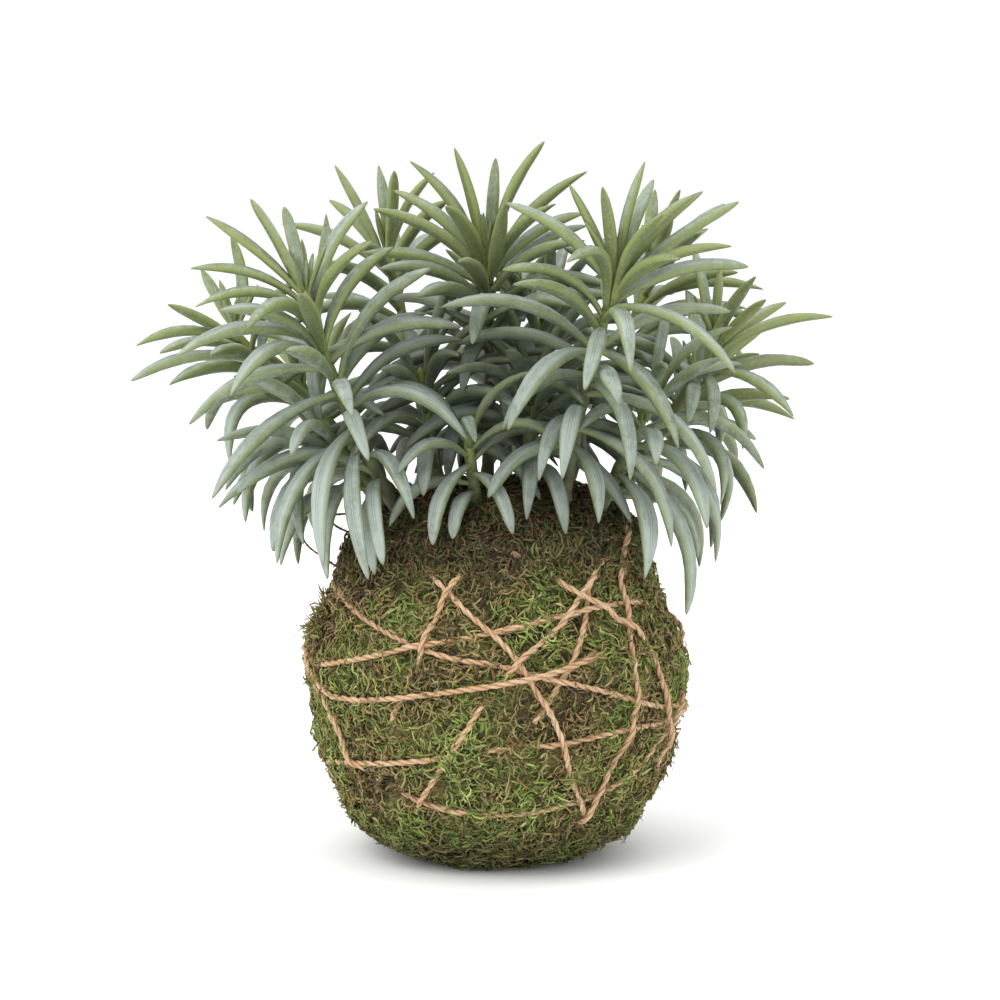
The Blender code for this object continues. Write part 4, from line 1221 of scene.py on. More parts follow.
@dataclass(frozen=True)
class MossFinish:
    """Sheet moss: each frond has its own tint, darker at its root, flecked along its length, with
    painted shade at the neck and darker toward the base.
    """

    fleck: Colour = srgb(176, 160, 100)
    shade: Colour = srgb(30, 28, 16)

    def build(self) -> Material:
        """Reads moss_tint (a colour) and moss_place (along, seed, painted shade at the neck and
        darkening toward the base).

        Returns:
            The material.
        """
        tree = Tree(Slot.MOSS.value)
        tint = tree.node("Attribute", {"attribute_name": "moss_tint"}).outputs["Vector"]
        along, seed, neck_shade_base_dark = tree.tagged("moss_place")
        flecks = tree.noise(tree.own_place(), 1500, 2)
        # Painted shade at the neck under the crown, and darker toward the base.
        root = along.stepped(0.3, 0.0) * 0.55 + neck_shade_base_dark * 0.3
        body = tree.mixed(root, tint, self.shade)
        colour = tree.mixed(flecks.stepped(0.56, 0.8) * (0.25 + seed * 0.4), body, self.fleck)
        return tree.finish(colour, 0.72 + flecks * 0.25, flecks, 0.25 * MM)


@dataclass(frozen=True)
class MossBedFinish:
    """The matted moss under the fronds: dark brown and olive with blots of wet earth."""

    def build(self) -> Material:
        """Mottles the moss.

        Returns:
            The material.
        """
        tree = Tree("moss_bed")
        place = tree.own_place()
        blots = tree.noise(place, 90, 3)
        fibres = tree.noise(place, 1200, 4)
        stops = (
            (0.32, srgb(30, 25, 15)),
            (0.44, srgb(68, 61, 35)),
            (0.53, srgb(104, 108, 54)),
            (0.66, srgb(150, 136, 84)),
        )
        colour = tree.ramp(blots * 0.5 + fibres * 0.5, stops)
        return tree.finish(colour, 0.82 + fibres * 0.15, fibres * 0.7 + blots * 0.3, 0.9 * MM)


@dataclass(frozen=True)
class TwineFinish:
    """Jute: tan strands of lighter and darker fibres, with painted shade in the grooves between the
    plies.
    """

    groove_shade: Colour = srgb(154, 114, 79)
    fibre: Colour = srgb(193, 156, 116)
    bright: Colour = srgb(229, 205, 174)

    def build(self) -> Material:
        """Reads ply_place (metres along, round the ply, and how far out from between the plies).

        Returns:
            The material.
        """
        tree = Tree(Slot.JUTE.value)
        along, turn, out = tree.tagged("ply_place")
        fibres = tree.noise(tree.spot(along * 90, turn * 3.2, out * 0.3), 3.0, 4)
        blotches = tree.noise(tree.own_place(), 130, 2)
        # Painted shade: darker toward the side where the plies press together.
        body = tree.mixed(out.stepped(-0.5, 0.6), self.groove_shade, self.fibre)
        share = (fibres + (blotches - 0.5) * 0.5).stepped(0.42, 0.78) * 0.85
        colour = tree.mixed(share, body, self.bright)
        return tree.finish(colour, 0.75 + fibres * 0.2, fibres, 0.3 * MM)


@dataclass(frozen=True)
class SoilFinish:
    """Damp peat and clay: nearly black with brown crumbs and a few pale grits."""

    def build(self) -> Material:
        """Mixes crumbs and clods.

        Returns:
            The material.
        """
        tree = Tree(Slot.SOIL.value)
        place = tree.own_place()
        crumbs = tree.noise(place, 380, 5)
        clods = tree.noise(place, 70, 2)
        stops = (
            (0.32, srgb(26, 19, 13)),
            (0.5, srgb(52, 37, 25)),
            (0.64, srgb(82, 60, 42)),
            (0.8, srgb(150, 132, 108)),
        )
        colour = tree.ramp(crumbs * 0.7 + clods * 0.3, stops)
        return tree.finish(colour, 0.8 + crumbs * 0.15, crumbs, 1.2 * MM)


@dataclass(frozen=True)
class FloorFinish:
    """A pale matt floor with the faintest unevenness."""

    pale: Colour = srgb(250, 250, 250)
    paler: Colour = srgb(255, 255, 255)

    def build(self) -> Material:
        """The material."""
        tree = Tree("pale_floor")
        drift = tree.noise(tree.own_place(), 3, 2)
        return tree.finish(tree.mixed(drift, self.pale, self.paler), 0.9, drift, 0.05 * MM)


# ---- the shoots


# Shoots that stand in the others' shade have no buds and look older.
SHADED = ("front_middle", "inner_left", "inner_right", "inner_back", "low_left", "low_right")


@dataclass
class Foliage:
    """The leaves of one shoot.

    Attributes:
        plant: Where every leaf grows.
        name: The shoot's name.
        pattern: The leaf's shape.
        seed: Which natural differences its leaves get.
        bud_rises: How steeply the buds at the tip stand, in degrees.
        bud_length: The first bud's length in mm.
        grown_at: How far below the tip a leaf is fully grown, in metres.
    """

    # How far out the crown reaches at some heights, in metres; it sets where the painted shade within
    # the crown falls.
    CROWN_HEIGHTS = (0.12, 0.15, 0.185, 0.21)
    CROWN_REACHES = (0.064, 0.084, 0.076, 0.055)

    plant: Plant
    name: str
    pattern: Pattern
    seed: int
    bud_rises: tuple[float, ...] = (84, 76, 70, 64, 57)
    bud_length: float = 9.0
    grown_at: float = 40 * MM

    def buds(self) -> list[Blade]:
        """Places small upright leaves round the tip; a shaded shoot has none.

        Returns:
            The leaves.
        """
        if self.name in SHADED:
            return []
        line = self.plant.lines[self.name]
        made = []
        for number, rise in enumerate(self.bud_rises):
            length = self.bud_length + 2.4 * number
            bearing = GOLDEN_ANGLE * number + 25 * self.seed
            bud = Blade(line, Leaf(0.4 + 0.3 * number, bearing, rise, length, 0.03))
            bud.half_width *= 0.42 + 0.05 * number
            bud.foot = bud.foot - bud.out * 0.7 * MM
            made.append(bud)
        return made

    def build(self, finish: Material) -> Piece:
        """Bends a copy of the leaf along each blade and stores its place and age on it.

        Args:
            finish: What the leaves are dressed in.

        Returns:
            The piece.
        """
        dice = np.random.default_rng(1000 + self.seed)
        buds = self.buds()
        blades = self.plant.blades[self.name] + buds
        along = self.pattern.points[:, 0]
        rows = []
        for blade in blades:
            small = blade in buds
            sway = 0 if small else dice.normal(0, 0.5 * MM)
            roll = (0 if small else dice.normal(0, 0.2)) * np.clip(along, 0, 1)
            curl = (0 if small else dice.uniform(-0.2, 1.1) * MM) * np.clip(along, 0, 1) ** 3
            centre = blade.points(along) + blade.side * (sway * np.sin(np.pi * along))[:, None]
            centre = centre - blade.up * curl[:, None]
            ahead = blade.headings(along)
            side = -blade.side
            top = np.cross(ahead, side)
            turned = side * np.cos(roll)[:, None] + top * np.sin(roll)[:, None]
            top = top * np.cos(roll)[:, None] - side * np.sin(roll)[:, None]
            width = blade.half_width * (1 if small else dice.uniform(0.84, 1.0))
            uneven = 0.05 * np.sin(dice.uniform(5, 12) * along + dice.uniform(0, FULL_TURN))
            blunt = dice.uniform(-0.15, 0.45) * smooth_step(0.75, 0.96, along)
            rows.append((centre, turned, top, width * (1 + uneven + blunt)))
        lines = [np.array(column) for column in zip(*rows)]
        piece = copied(f"{self.name}_foliage", self.pattern, bent(self.pattern, *lines))
        self._tag(piece, blades, dice)
        return dressed(piece, finish, f"{self.name}_leaves")

    def _crown_shade(self, blade: Blade) -> float:
        """How deep within the crown a leaf grows, which sets how much painted shade it gets.

        Args:
            blade: The leaf.

        Returns:
            From 0 at the outside to 1.
        """
        middle = blade.points(np.array([0.6]))[0]
        reach = np.interp(middle[2], self.CROWN_HEIGHTS, self.CROWN_REACHES)
        inward = smooth_step(0.95, 0.35, np.hypot(middle[0], middle[1]) / reach)
        return float(inward * smooth_step(0.205, 0.165, middle[2]))

    def _tag(self, piece: Piece, blades: list[Blade], dice: Dice) -> None:
        """Stores each vertex's place on its leaf, and the leaf's age, seed and depth in the crown for
        painted shade.

        Args:
            piece: The piece.
            blades: Its leaves.
            dice: The source of chance.
        """
        x, y, z = self.pattern.points.T
        girth = np.maximum(np.hypot(y, z), 1e-6)
        place = np.stack([np.clip(x, 0, 1), y / girth, z / girth], axis=1)
        tag(piece, "leaf_place", np.tile(place, (len(blades), 1)))
        moods = []
        for blade in blades:
            down = min(1.0, blade.leaf.at * MM / self.grown_at)
            older = 0.5 if self.name in SHADED else 0
            age = np.clip(down**0.8 + older + dice.normal(0, 0.07), 0, 1)
            moods.append((age, dice.random(), self._crown_shade(blade)))
        tag(piece, "leaf_mood", np.repeat(np.array(moods), len(x), axis=0))


@dataclass
class LeafShape:
    """The leaf that all others are copied from: a long fleshy blade, pointed, with a shallow channel.

    Attributes:
        sides: How many corners its section has.
        crown: The upper face's height, as a share of half the width.
        keel: The lower face's depth, as a share of half the width.
        channel: The depth of the channel along the upper face, as a share of half the width.
        girths: Its rings, from inside the stem to the tip, as (share of the length, girth as a
            share of the full width).
    """

    sides: int = 12
    crown: float = 0.7
    keel: float = 0.9
    channel: float = 0.16
    girths: tuple[tuple[float, float], ...] = (
        (-0.05, 0.4), (0, 0.47), (0.06, 0.53), (0.13, 0.64), (0.22, 0.8), (0.32, 0.92),
        (0.43, 0.99), (0.54, 1), (0.65, 0.96), (0.75, 0.85), (0.84, 0.67), (0.91, 0.45),
        (0.96, 0.27), (0.985, 0.15), (1, 0),
    )

    def model(self) -> Pattern:
        """Shapes a rod into the leaf.

        Returns:
            The leaf.
        """
        stations, girths = zip(*self.girths)
        rod = new_rod(stations, self.sides)
        x, y, z = rod.points.T
        girth = np.interp(x, stations, girths)
        width = y * girth
        height = np.where(z > 0, z * self.crown, z * self.keel)
        dip = self.channel * np.exp(-((y / 0.34) ** 2)) * smooth_step(0.0, 0.12, x) * (z > 0.01)
        height = (height - dip) * np.where(x < 0.3, 1.0 - 0.1 * x, 1.0) * girth
        return Pattern(np.stack([x, width, height], axis=1), rod.corners, rod.starts, rod.chart)


@dataclass
class Stem:
    """One shoot's stem with its buried foot, knobbly where leaves grow or have dropped.

    Attributes:
        plant: Where every stem grows.
        name: The shoot's name.
        pattern: A rod with enough rings for the knobs.
        seed: Its number.
        knob: How far a knob stands out.
    """

    plant: Plant
    name: str
    pattern: Pattern
    seed: int
    knob: float = 0.32 * MM

    def build(self, finish: Material) -> Piece:
        """Bends the rod up the stem's line.

        Args:
            finish: What the stem is dressed in.

        Returns:
            The piece.
        """
        line = self.plant.lines[self.name]
        bend = line[0] - unit(unit(line[1] - line[0]) + np.array([0, 0, 1])) * ROOT_BEND
        bottom = bend - np.array([0, 0, ROOT_DEPTH - ROOT_BEND])
        path = np.vstack([bottom, bend, line])
        run = run_of(path)
        share = np.clip(self.pattern.points[:, 0], 0, 1)
        there = share * run[-1]
        centre = read_along(there, run, path)
        ahead = units(read_along(there, run, np.gradient(path, run, axis=0)))
        side = units(np.cross(ahead, [0, 1, 0]))
        above = np.clip((there - run[2]) / (run[-1] - run[2]), 0, 1)
        scars = self._scars(run[-1] - there)
        size = stem_radius(above) + self.knob * scars
        places = bent(self.pattern, centre[None], side[None], np.cross(ahead, side)[None], size[None])
        piece = copied(f"{self.name}_shoot_stem", self.pattern, places)
        seed = np.full(len(share), self.seed / len(SHOOTS))
        tag(piece, "stem_place", np.stack([share, scars, seed], axis=1))
        return dressed(piece, finish, f"{self.name}_stem")

    def _scars(self, below_tip: Array) -> Array:
        """How much of a scar there is at each vertex.

        Args:
            below_tip: The vertices' distances below the tip.

        Returns:
            From 0 to 1.
        """
        turn = np.arctan2(self.pattern.points[:, 1], self.pattern.points[:, 2])
        found = np.zeros(len(below_tip))
        spots = [(blade.leaf.at, blade.leaf.bearing) for blade in self.plant.blades[self.name]]
        spots += [(20 + 4.1 * k, GOLDEN_ANGLE * k + 60 * self.seed) for k in range(16)]
        for at, bearing in spots:
            facing = 0.5 - 0.5 * np.sin(turn + math.radians(bearing))
            near = np.exp(-(((below_tip / MM - at) / 1.3) ** 2))
            found = np.maximum(found, near * facing)
        return found


# ---- the ball


class MossSurface:
    """The moss ball's outside: its outline with soft lumps, pressed in under the twine."""

    LUMP = 0.8 * MM
    RIPPLE = 0.4 * MM
    PRESSED = -0.9 * MM

    def __init__(self, twine: TwinePath) -> None:
        """Smooths the outline and sorts the twine's points for searching.

        Args:
            twine: The twine that the moss is pressed in under.
        """
        outline = np.array(MOSS_OUTLINE[::-1], float) * MM
        run = run_of(outline)
        self.run = np.linspace(0, run[-1], 400)
        self.outline = softened(read_along(self.run, run, outline), 11)
        self.outline[:, 1] = np.maximum(self.outline[:, 1], 0)
        slope = units(np.gradient(self.outline, self.run, axis=0))
        self.facing = np.stack([slope[:, 1], -slope[:, 0]], axis=1)
        self.lumps = Waves(5, 26 * MM)
        self.ripples = Waves(6, 9 * MM)
        self.twine = twine
        self.tree = kdtree.KDTree(len(twine.points))
        for index, point in enumerate(twine.points):
            self.tree.insert(point, index)
        self.tree.balance()

    def radius(self, run: Array) -> Array:
        """The outline's radius at distances along it from the middle of the base."""
        return np.interp(run, self.run, self.outline[:, 0])

    def at(self, turn: Array, run: Array) -> tuple[Array, Array]:
        """Points on the lumpy surface and its outward directions.

        Args:
            turn: Bearings in radians.
            run: Distances along the outline from the middle of the base.

        Returns:
            The points and the directions.
        """
        radius, height = self.radius(run), np.interp(run, self.run, self.outline[:, 1])
        out_level = np.interp(run, self.run, self.facing[:, 0])
        out_up = np.interp(run, self.run, self.facing[:, 1])
        across, toward = np.sin(turn), -np.cos(turn)
        out = units(np.stack([across * out_level, toward * out_level, out_up], axis=-1))
        points = np.stack([radius * across, radius * toward, height], axis=-1)
        swell = self.lumps.at(points) * self.LUMP + self.ripples.at(points) * self.RIPPLE
        swell = swell * smooth_step(0, 9 * MM, height)
        return points + out * swell[..., None], out

    def near_twine(self, points: Array) -> tuple[Array, Array]:
        """Looks for the twine near points.

        Args:
            points: The points.

        Returns:
            Each one's distance from the twine's centre line, and the number of its nearest point.
        """
        found = [self.tree.find(point)[1:] for point in points.reshape(-1, 3)]
        number, distance = np.array(found).T
        return distance.reshape(points.shape[:-1]), number.astype(int).reshape(points.shape[:-1])


@dataclass
class MossBed:
    """The matted moss itself, on which the fronds lie.

    Attributes:
        surface: The ball's outside.
        segments: How many faces go round it.
        rings: How many go from the base to the top.
        sunk: How far it lies under the fronds' feet.
    """

    surface: MossSurface
    segments: int = 132
    rings: int = 84
    sunk: float = 1.7 * MM

    def build(self, finish: Material) -> Piece:
        """Shapes a ball to the outline, lumps and all.

        Args:
            finish: What the bed is dressed in.

        Returns:
            The piece.
        """
        bpy.ops.mesh.primitive_uv_sphere_add(segments=self.segments, ring_count=self.rings, radius=1)
        piece = bpy.context.object
        piece.name = piece.data.name = "moss_bed"
        count = len(piece.data.vertices)
        places = np.empty(count * 3)
        piece.data.vertices.foreach_get("co", places)
        places = places.reshape(-1, 3)
        turn = np.arctan2(places[:, 0], -places[:, 1])
        polar = np.arccos(np.clip(-places[:, 2], -1, 1)) / math.pi
        points, out = self.surface.at(turn, polar * self.surface.run[-1])
        distance, _ = self.surface.near_twine(points)
        pressed = (1 - smooth_step(1.2 * MM, 3.4 * MM, distance)) * 0.4 * MM
        points = points - out * (self.sunk + pressed)[:, None]
        points[:, 2] = np.maximum(points[:, 2], 0)
        piece.data.vertices.foreach_set("co", points.ravel())
        bpy.ops.object.shade_smooth()
        return dressed(piece, finish, "moss_wrap")


class Tuft(NamedTuple):
    """A place where moss stands out: its bearing in degrees, its height, how wide it is and how far
    its fronds stand out, all in mm, and how many they are."""

    bearing: float
    height: float
    spread: float
    rise: float
    count: int


TUFTS = tuple(
    Tuft(*row)
    for row in (
        (-84, 76, 7, 7.0, 190), (-76, 70, 5, 4.0, 90), (-62, 79, 6, 2.5, 80), (86, 37, 7, 4.5, 140),
        (93, 28, 5, 3.0, 70), (74, 88, 7, 3.0, 90), (-70, 19, 6, 4.0, 110), (-48, 9, 7, 3.0, 110),
        (-12, 4, 7, 2.5, 90), (42, 9, 7, 3.5, 120), (62, 16, 6, 3.5, 100), (-66, 96, 7, 3.5, 120),
        (66, 100, 7, 3.5, 120), (4, 24, 9, 1.5, 110), (-8, 104, 14, 4.0, 160),
        (24, 101, 12, 3.5, 140), (150, 60, 8, 3.0, 110), (-140, 40, 9, 3.0, 120),
        (-170, 88, 8, 3.0, 110), (120, 22, 8, 3.0, 90),
    )
)


@dataclass
class MossFronds:
    """The fronds on the ball: small curly strands that lie in swirls, in a few pieces by height.

    Attributes:
        surface: The ball's outside.
        finish: What it is dressed in.
        pattern: The frond's shape.
        leaflet: The shape of the small leaves along it.
        count: How many fronds there are in all, besides the tufts'.
        leaflets: How many small leaves there are in all.
        shortest, longest: The least and the greatest length of a frond.
        thin, thick: Its least and its greatest radius.
        bands: The heights between the pieces of fronds.
        names: The pieces of fronds, from the lowest.
        leaflet_bands: The heights between the pieces of small leaves.
        leaflet_names: The pieces of small leaves, from the lowest.
        palette: The fronds' tints, from dry to green.
        rust: The tint of a few dead fronds.
    """

    # The small leaves take the fronds' colour from this share of their length on.
    LEAFLET_ALONG = 0.45

    surface: MossSurface
    finish: Material
    pattern: Pattern
    leaflet: Pattern
    count: int = 23000
    leaflets: int = 34000
    shortest: float = 2.8 * MM
    longest: float = 9.0 * MM
    thin: float = 0.15 * MM
    thick: float = 0.40 * MM
    bands: tuple[float, ...] = (24 * MM, 46 * MM, 68 * MM, 91 * MM)
    names: tuple[str, ...] = ("moss_foot", "moss_low", "moss_middle", "moss_high", "moss_neck")
    leaflet_bands: tuple[float, ...] = (40 * MM, 76 * MM)
    leaflet_names: tuple[str, ...] = ("leaflets_low", "leaflets_middle", "leaflets_high")
    palette: tuple[Colour, ...] = (
        srgb(58, 50, 32),
        srgb(100, 82, 52),
        srgb(142, 116, 76),
        srgb(158, 146, 94),
        srgb(134, 130, 72),
        srgb(114, 128, 60),
        srgb(122, 146, 62),
        srgb(164, 172, 100),
    )
    rust: Colour = srgb(132, 92, 56)

    def _starts(self, dice: Dice) -> Rows:
        """Where the fronds start.

        Args:
            dice: The source of chance.

        Returns:
            Distances along the outline, bearings in radians, and how far the tips rise.
        """
        surface = self.surface
        weight = surface.radius(surface.run) * np.where(surface.outline[:, 1] < 0.4 * MM, 0.25, 1)
        weight = weight * np.where(surface.run > surface.run[-1] - 30 * MM, 0.75, 1)
        total = np.cumsum(weight)
        run = np.interp(dice.random(self.count), total / total[-1], surface.run)
        turn = dice.uniform(0, FULL_TURN, self.count)
        rise = np.abs(dice.normal(0, 0.45 * MM, self.count))
        wild = dice.random(self.count) < 0.05
        rise = np.where(wild, dice.uniform(1.0, 2.8, self.count) * MM, rise)
        for tuft in TUFTS:
            middle = np.interp(tuft.height * MM, surface.outline[:, 1], surface.run)
            spread = tuft.spread * MM / 2
            run = np.append(run, middle + dice.normal(0, spread, tuft.count))
            across = dice.normal(0, spread / surface.radius(middle), tuft.count)
            turn = np.append(turn, math.radians(tuft.bearing) + across)
            rise = np.append(rise, dice.uniform(0.2, 0.8, tuft.count) * tuft.rise * MM)
        return {"run": np.clip(run, 1 * MM, surface.run[-1] - 1 * MM), "turn": turn, "rise": rise}

    def _paths(self, dice: Dice, stations: Array) -> Rows:
        """Walks each frond over the surface.

        Args:
            dice: The source of chance.
            stations: Places along a frond from 0 to 1.

        Returns:
            The centre lines, outward directions and radii, fronds by stations.
        """
        surface, start = self.surface, self._starts(dice)
        count = len(start["run"])
        first, _ = surface.at(start["turn"], start["run"])
        swirl = Waves(21, 30 * MM).at(first) * 2.4
        head = swirl + dice.normal(0, 0.7, count) + math.pi * (dice.random(count) < 0.5)
        bend = dice.normal(0, 1.9, count)
        wiggle = dice.uniform(0.05, 0.6, count)
        phase = dice.uniform(0, FULL_TURN, count)
        length = self.shortest + (self.longest - self.shortest) * dice.random(count) ** 1.7
        turn, run = start["turn"], start["run"]
        turns, runs = [turn], [run]
        for before, after in zip(stations[:-1], stations[1:]):
            at = (before + after) / 2
            angle = head + bend * (at - 0.5) + wiggle * np.sin(FULL_TURN * 1.2 * at + phase)
            step = (after - before) * length
            turn = turn + step * np.cos(angle) / np.maximum(surface.radius(run), 5 * MM)
            run = np.clip(run + step * np.sin(angle), 0.5 * MM, surface.run[-1] - 0.5 * MM)
            turns.append(turn)
            runs.append(run)
        points, out = surface.at(np.stack(turns, axis=1), np.stack(runs, axis=1))
        level = dice.uniform(-1.9, 0.3, count)[:, None] * MM
        arch = dice.uniform(0.1, 0.9, count)[:, None] * MM * np.sin(np.pi * stations)
        wave = 0.25 * MM * np.sin(FULL_TURN * 1.6 * stations + phase[:, None])
        height = level + arch + wave + start["rise"][:, None] * stations**1.5
        height = self._round_twine(points, out, height, dice)
        centres = points + out * height[..., None]
        centres[..., 2] = np.maximum(centres[..., 2], 0.45 * MM)
        size = dice.uniform(self.thin, self.thick, count)[:, None]
        knots = 1 + 0.35 * np.sin(stations * 17 + phase[:, None])
        return {"centre": centres, "out": out, "size": size * knots}

    def _round_twine(self, points: Array, out: Array, height: Array, dice: Dice) -> Array:
        """Presses fronds under the twine, or leads the few that grow over it across its top.

        Args:
            points: The fronds' points on the surface.
            out: The outward directions there.
            height: How high the fronds lie over the points.
            dice: The source of chance.

        Returns:
            The heights near the twine put right.
        """
        surface, twine = self.surface, self.surface.twine
        distance, number = surface.near_twine(points + out * np.maximum(height, 0)[..., None])
        close = 1 - smooth_step(0.9 * MM, 2.1 * MM, distance)
        low = twine.points[number][..., 2] < 36 * MM
        patchy = Waves(31, 24 * MM).at(twine.points[number]) > 0.35
        chance = np.where(low, 0.2, 0.05) + patchy * 0.12 + twine.hidden[number]
        over = dice.random(len(points))[:, None] < chance
        crest = ((twine.points[number] - points) * out).sum(-1) + TWINE_RADIUS + 0.1 * MM
        under = np.minimum(height, surface.PRESSED)
        beside = height + 0.5 * MM * np.exp(-(((distance - 3.0 * MM) / (1.2 * MM)) ** 2))
        wanted = np.where(over, np.maximum(height, crest), under)
        return beside * (1 - close) + wanted * close

    def _tints(self, centres: Array, dice: Dice) -> Array:
        """Picks each frond's tint: green in patches, browner at the neck with painted shade there, and
        darker toward the base.

        Args:
            centres: The fronds' centre lines.
            dice: The source of chance.

        Returns:
            The tints.
        """
        middle = centres[:, centres.shape[1] // 2]
        green = 0.56 + 0.19 * Waves(41, 34 * MM).at(middle) + 0.12 * Waves(42, 12 * MM).at(middle)
        high = smooth_step(86 * MM, 106 * MM, middle[:, 2])
        place = np.clip(green - 0.1 * high + dice.normal(0, 0.19, len(middle)), 0, 0.999)
        palette = np.array(self.palette)[:, :3]
        spot = place * (len(palette) - 1)
        low = np.floor(spot).astype(int)
        blend = (spot - low)[:, None]
        tint = palette[low] * (1 - blend) + palette[low + 1] * blend
        rusty = dice.random(len(middle)) < 0.02 + 0.1 * high
        tint = np.where(rusty[:, None], np.array(self.rust)[:3], tint)
        # Painted shade at the neck under the crown, patchy in strength.
        deep = 0.5 + 0.12 * np.clip(Waves(43, 16 * MM).at(middle), -1, 1)
        bright = dice.uniform(0.7, 1.3, len(middle)) * (1 - deep * high * ~rusty)
        # Darker toward the base.
        bright = bright * (1 - 0.34 * smooth_step(26 * MM, 6 * MM, middle[:, 2]))
        return tint * bright[:, None]

    def _leaflets(self, line: Rows, dice: Dice) -> Rows:
        """Places the small leaves along the fronds.

        Args:
            line: The fronds' lines and directions.
            dice: The source of chance.

        Returns:
            Whose they are, where their feet are, which way they point and which way is up.
        """
        owner = dice.integers(0, len(line["centre"]), self.leaflets)
        last = line["centre"].shape[1] - 1
        place = dice.uniform(0.1, 1, self.leaflets) * last
        before = np.minimum(place.astype(int), last - 1)
        share = (place - before)[:, None]

        def there(name: str) -> Array:
            """The fronds' values at the leaflets' feet."""
            values = line[name]
            return values[owner, before] * (1 - share) + values[owner, before + 1] * share

        aside = dice.choice([-1.0, 1.0], self.leaflets) * dice.uniform(0.4, 1.1, self.leaflets)
        lift = dice.uniform(-0.1, 0.65, self.leaflets)
        ahead = there("ahead") * dice.uniform(0.2, 1, self.leaflets)[:, None]
        ahead = units(ahead + there("side") * aside[:, None] + there("top") * lift[:, None])
        return {"owner": owner, "foot": there("centre"), "ahead": ahead, "top": there("top")}

    def _piece(self, name: str, pattern: Pattern, places: Array, own: Rows) -> Piece:
        """One piece of moss, with each copy's tint, seed and darkening stored on it: painted shade at
        the neck, darker toward the base.

        Args:
            name: The piece's name.
            pattern: The shape that is copied.
            places: Where the copies' vertices go.
            own: Each copy's tint, seed and darkening, which is painted shade at the neck and darker
                toward the base.

        Returns:
            The piece.
        """
        count = len(pattern.points)
        piece = copied(name, pattern, places)
        tag(piece, "moss_tint", np.repeat(own["tint"], count, axis=0))
        first = 0 if pattern is self.pattern else self.LEAFLET_ALONG
        along = np.tile(pattern.points[:, 0] * (1 - first) + first, len(places))
        copies = np.repeat(np.stack([own["seed"], own["neck_shade_base_dark"]], axis=1), count, axis=0)
        tag(piece, "moss_place", np.column_stack([along, copies]))
        return dressed(piece, self.finish, "moss_wrap")

    def build(self) -> list[Piece]:
        """Grows the fronds and their leaflets, and parts them by height.

        Returns:
            The pieces.
        """
        dice = np.random.default_rng(77)
        stations = np.unique(np.round(self.pattern.points[:, 0], 5))
        line = self._paths(dice, stations)
        line["ahead"] = units(np.gradient(line["centre"], axis=1))
        line["side"] = units(np.cross(line["out"], line["ahead"]))
        line["top"] = np.cross(line["ahead"], line["side"])
        foot = line["centre"][:, 0, 2]
        own = {
            "tint": self._tints(line["centre"], dice),
            "seed": dice.random(len(foot)),
            # Painted shade at the neck under the crown, and darker toward the base.
            "neck_shade_base_dark": smooth_step(88 * MM, 106 * MM, foot) + 0.8 * smooth_step(-20 * MM, -3 * MM, -foot),
        }
        spot = np.searchsorted(stations, np.round(self.pattern.points[:, 0], 5))
        fields = [line[name] for name in ("centre", "side", "top", "size")]
        places = bent(self.pattern, *[values[:, spot] for values in fields])
        places[..., 2] = np.maximum(places[..., 2], 0.02 * MM)
        made = []
        for number, name in enumerate(self.names):
            mine = np.searchsorted(self.bands, foot) == number
            kept = {key: values[mine] for key, values in own.items()}
            made.append(self._piece(name, self.pattern, places[mine], kept))
        small = self._leaflets(line, dice)
        x = self.leaflet.points[:, 0][None, :, None]
        length = dice.uniform(0.6, 1.7, self.leaflets)[:, None, None] * MM
        centre = small["foot"][:, None] + small["ahead"][:, None] * (x * length)
        side = units(np.cross(small["top"], small["ahead"]))
        top = np.cross(small["ahead"], side)
        wide = dice.uniform(0.12, 0.24, self.leaflets)[:, None] * MM
        places = bent(self.leaflet, centre, side[:, None], top[:, None], wide)
        places[..., 2] = np.maximum(places[..., 2], 0.02 * MM)
        shade = dice.uniform(0.85, 1.35, self.leaflets)
        for number, name in enumerate(self.leaflet_names):
            mine = np.searchsorted(self.leaflet_bands, small["foot"][:, 2]) == number
            kept = {key: values[small["owner"][mine]] for key, values in own.items()}
            kept["tint"] = kept["tint"] * shade[mine, None]
            made.append(self._piece(name, self.leaflet, places[mine], kept))
        return made


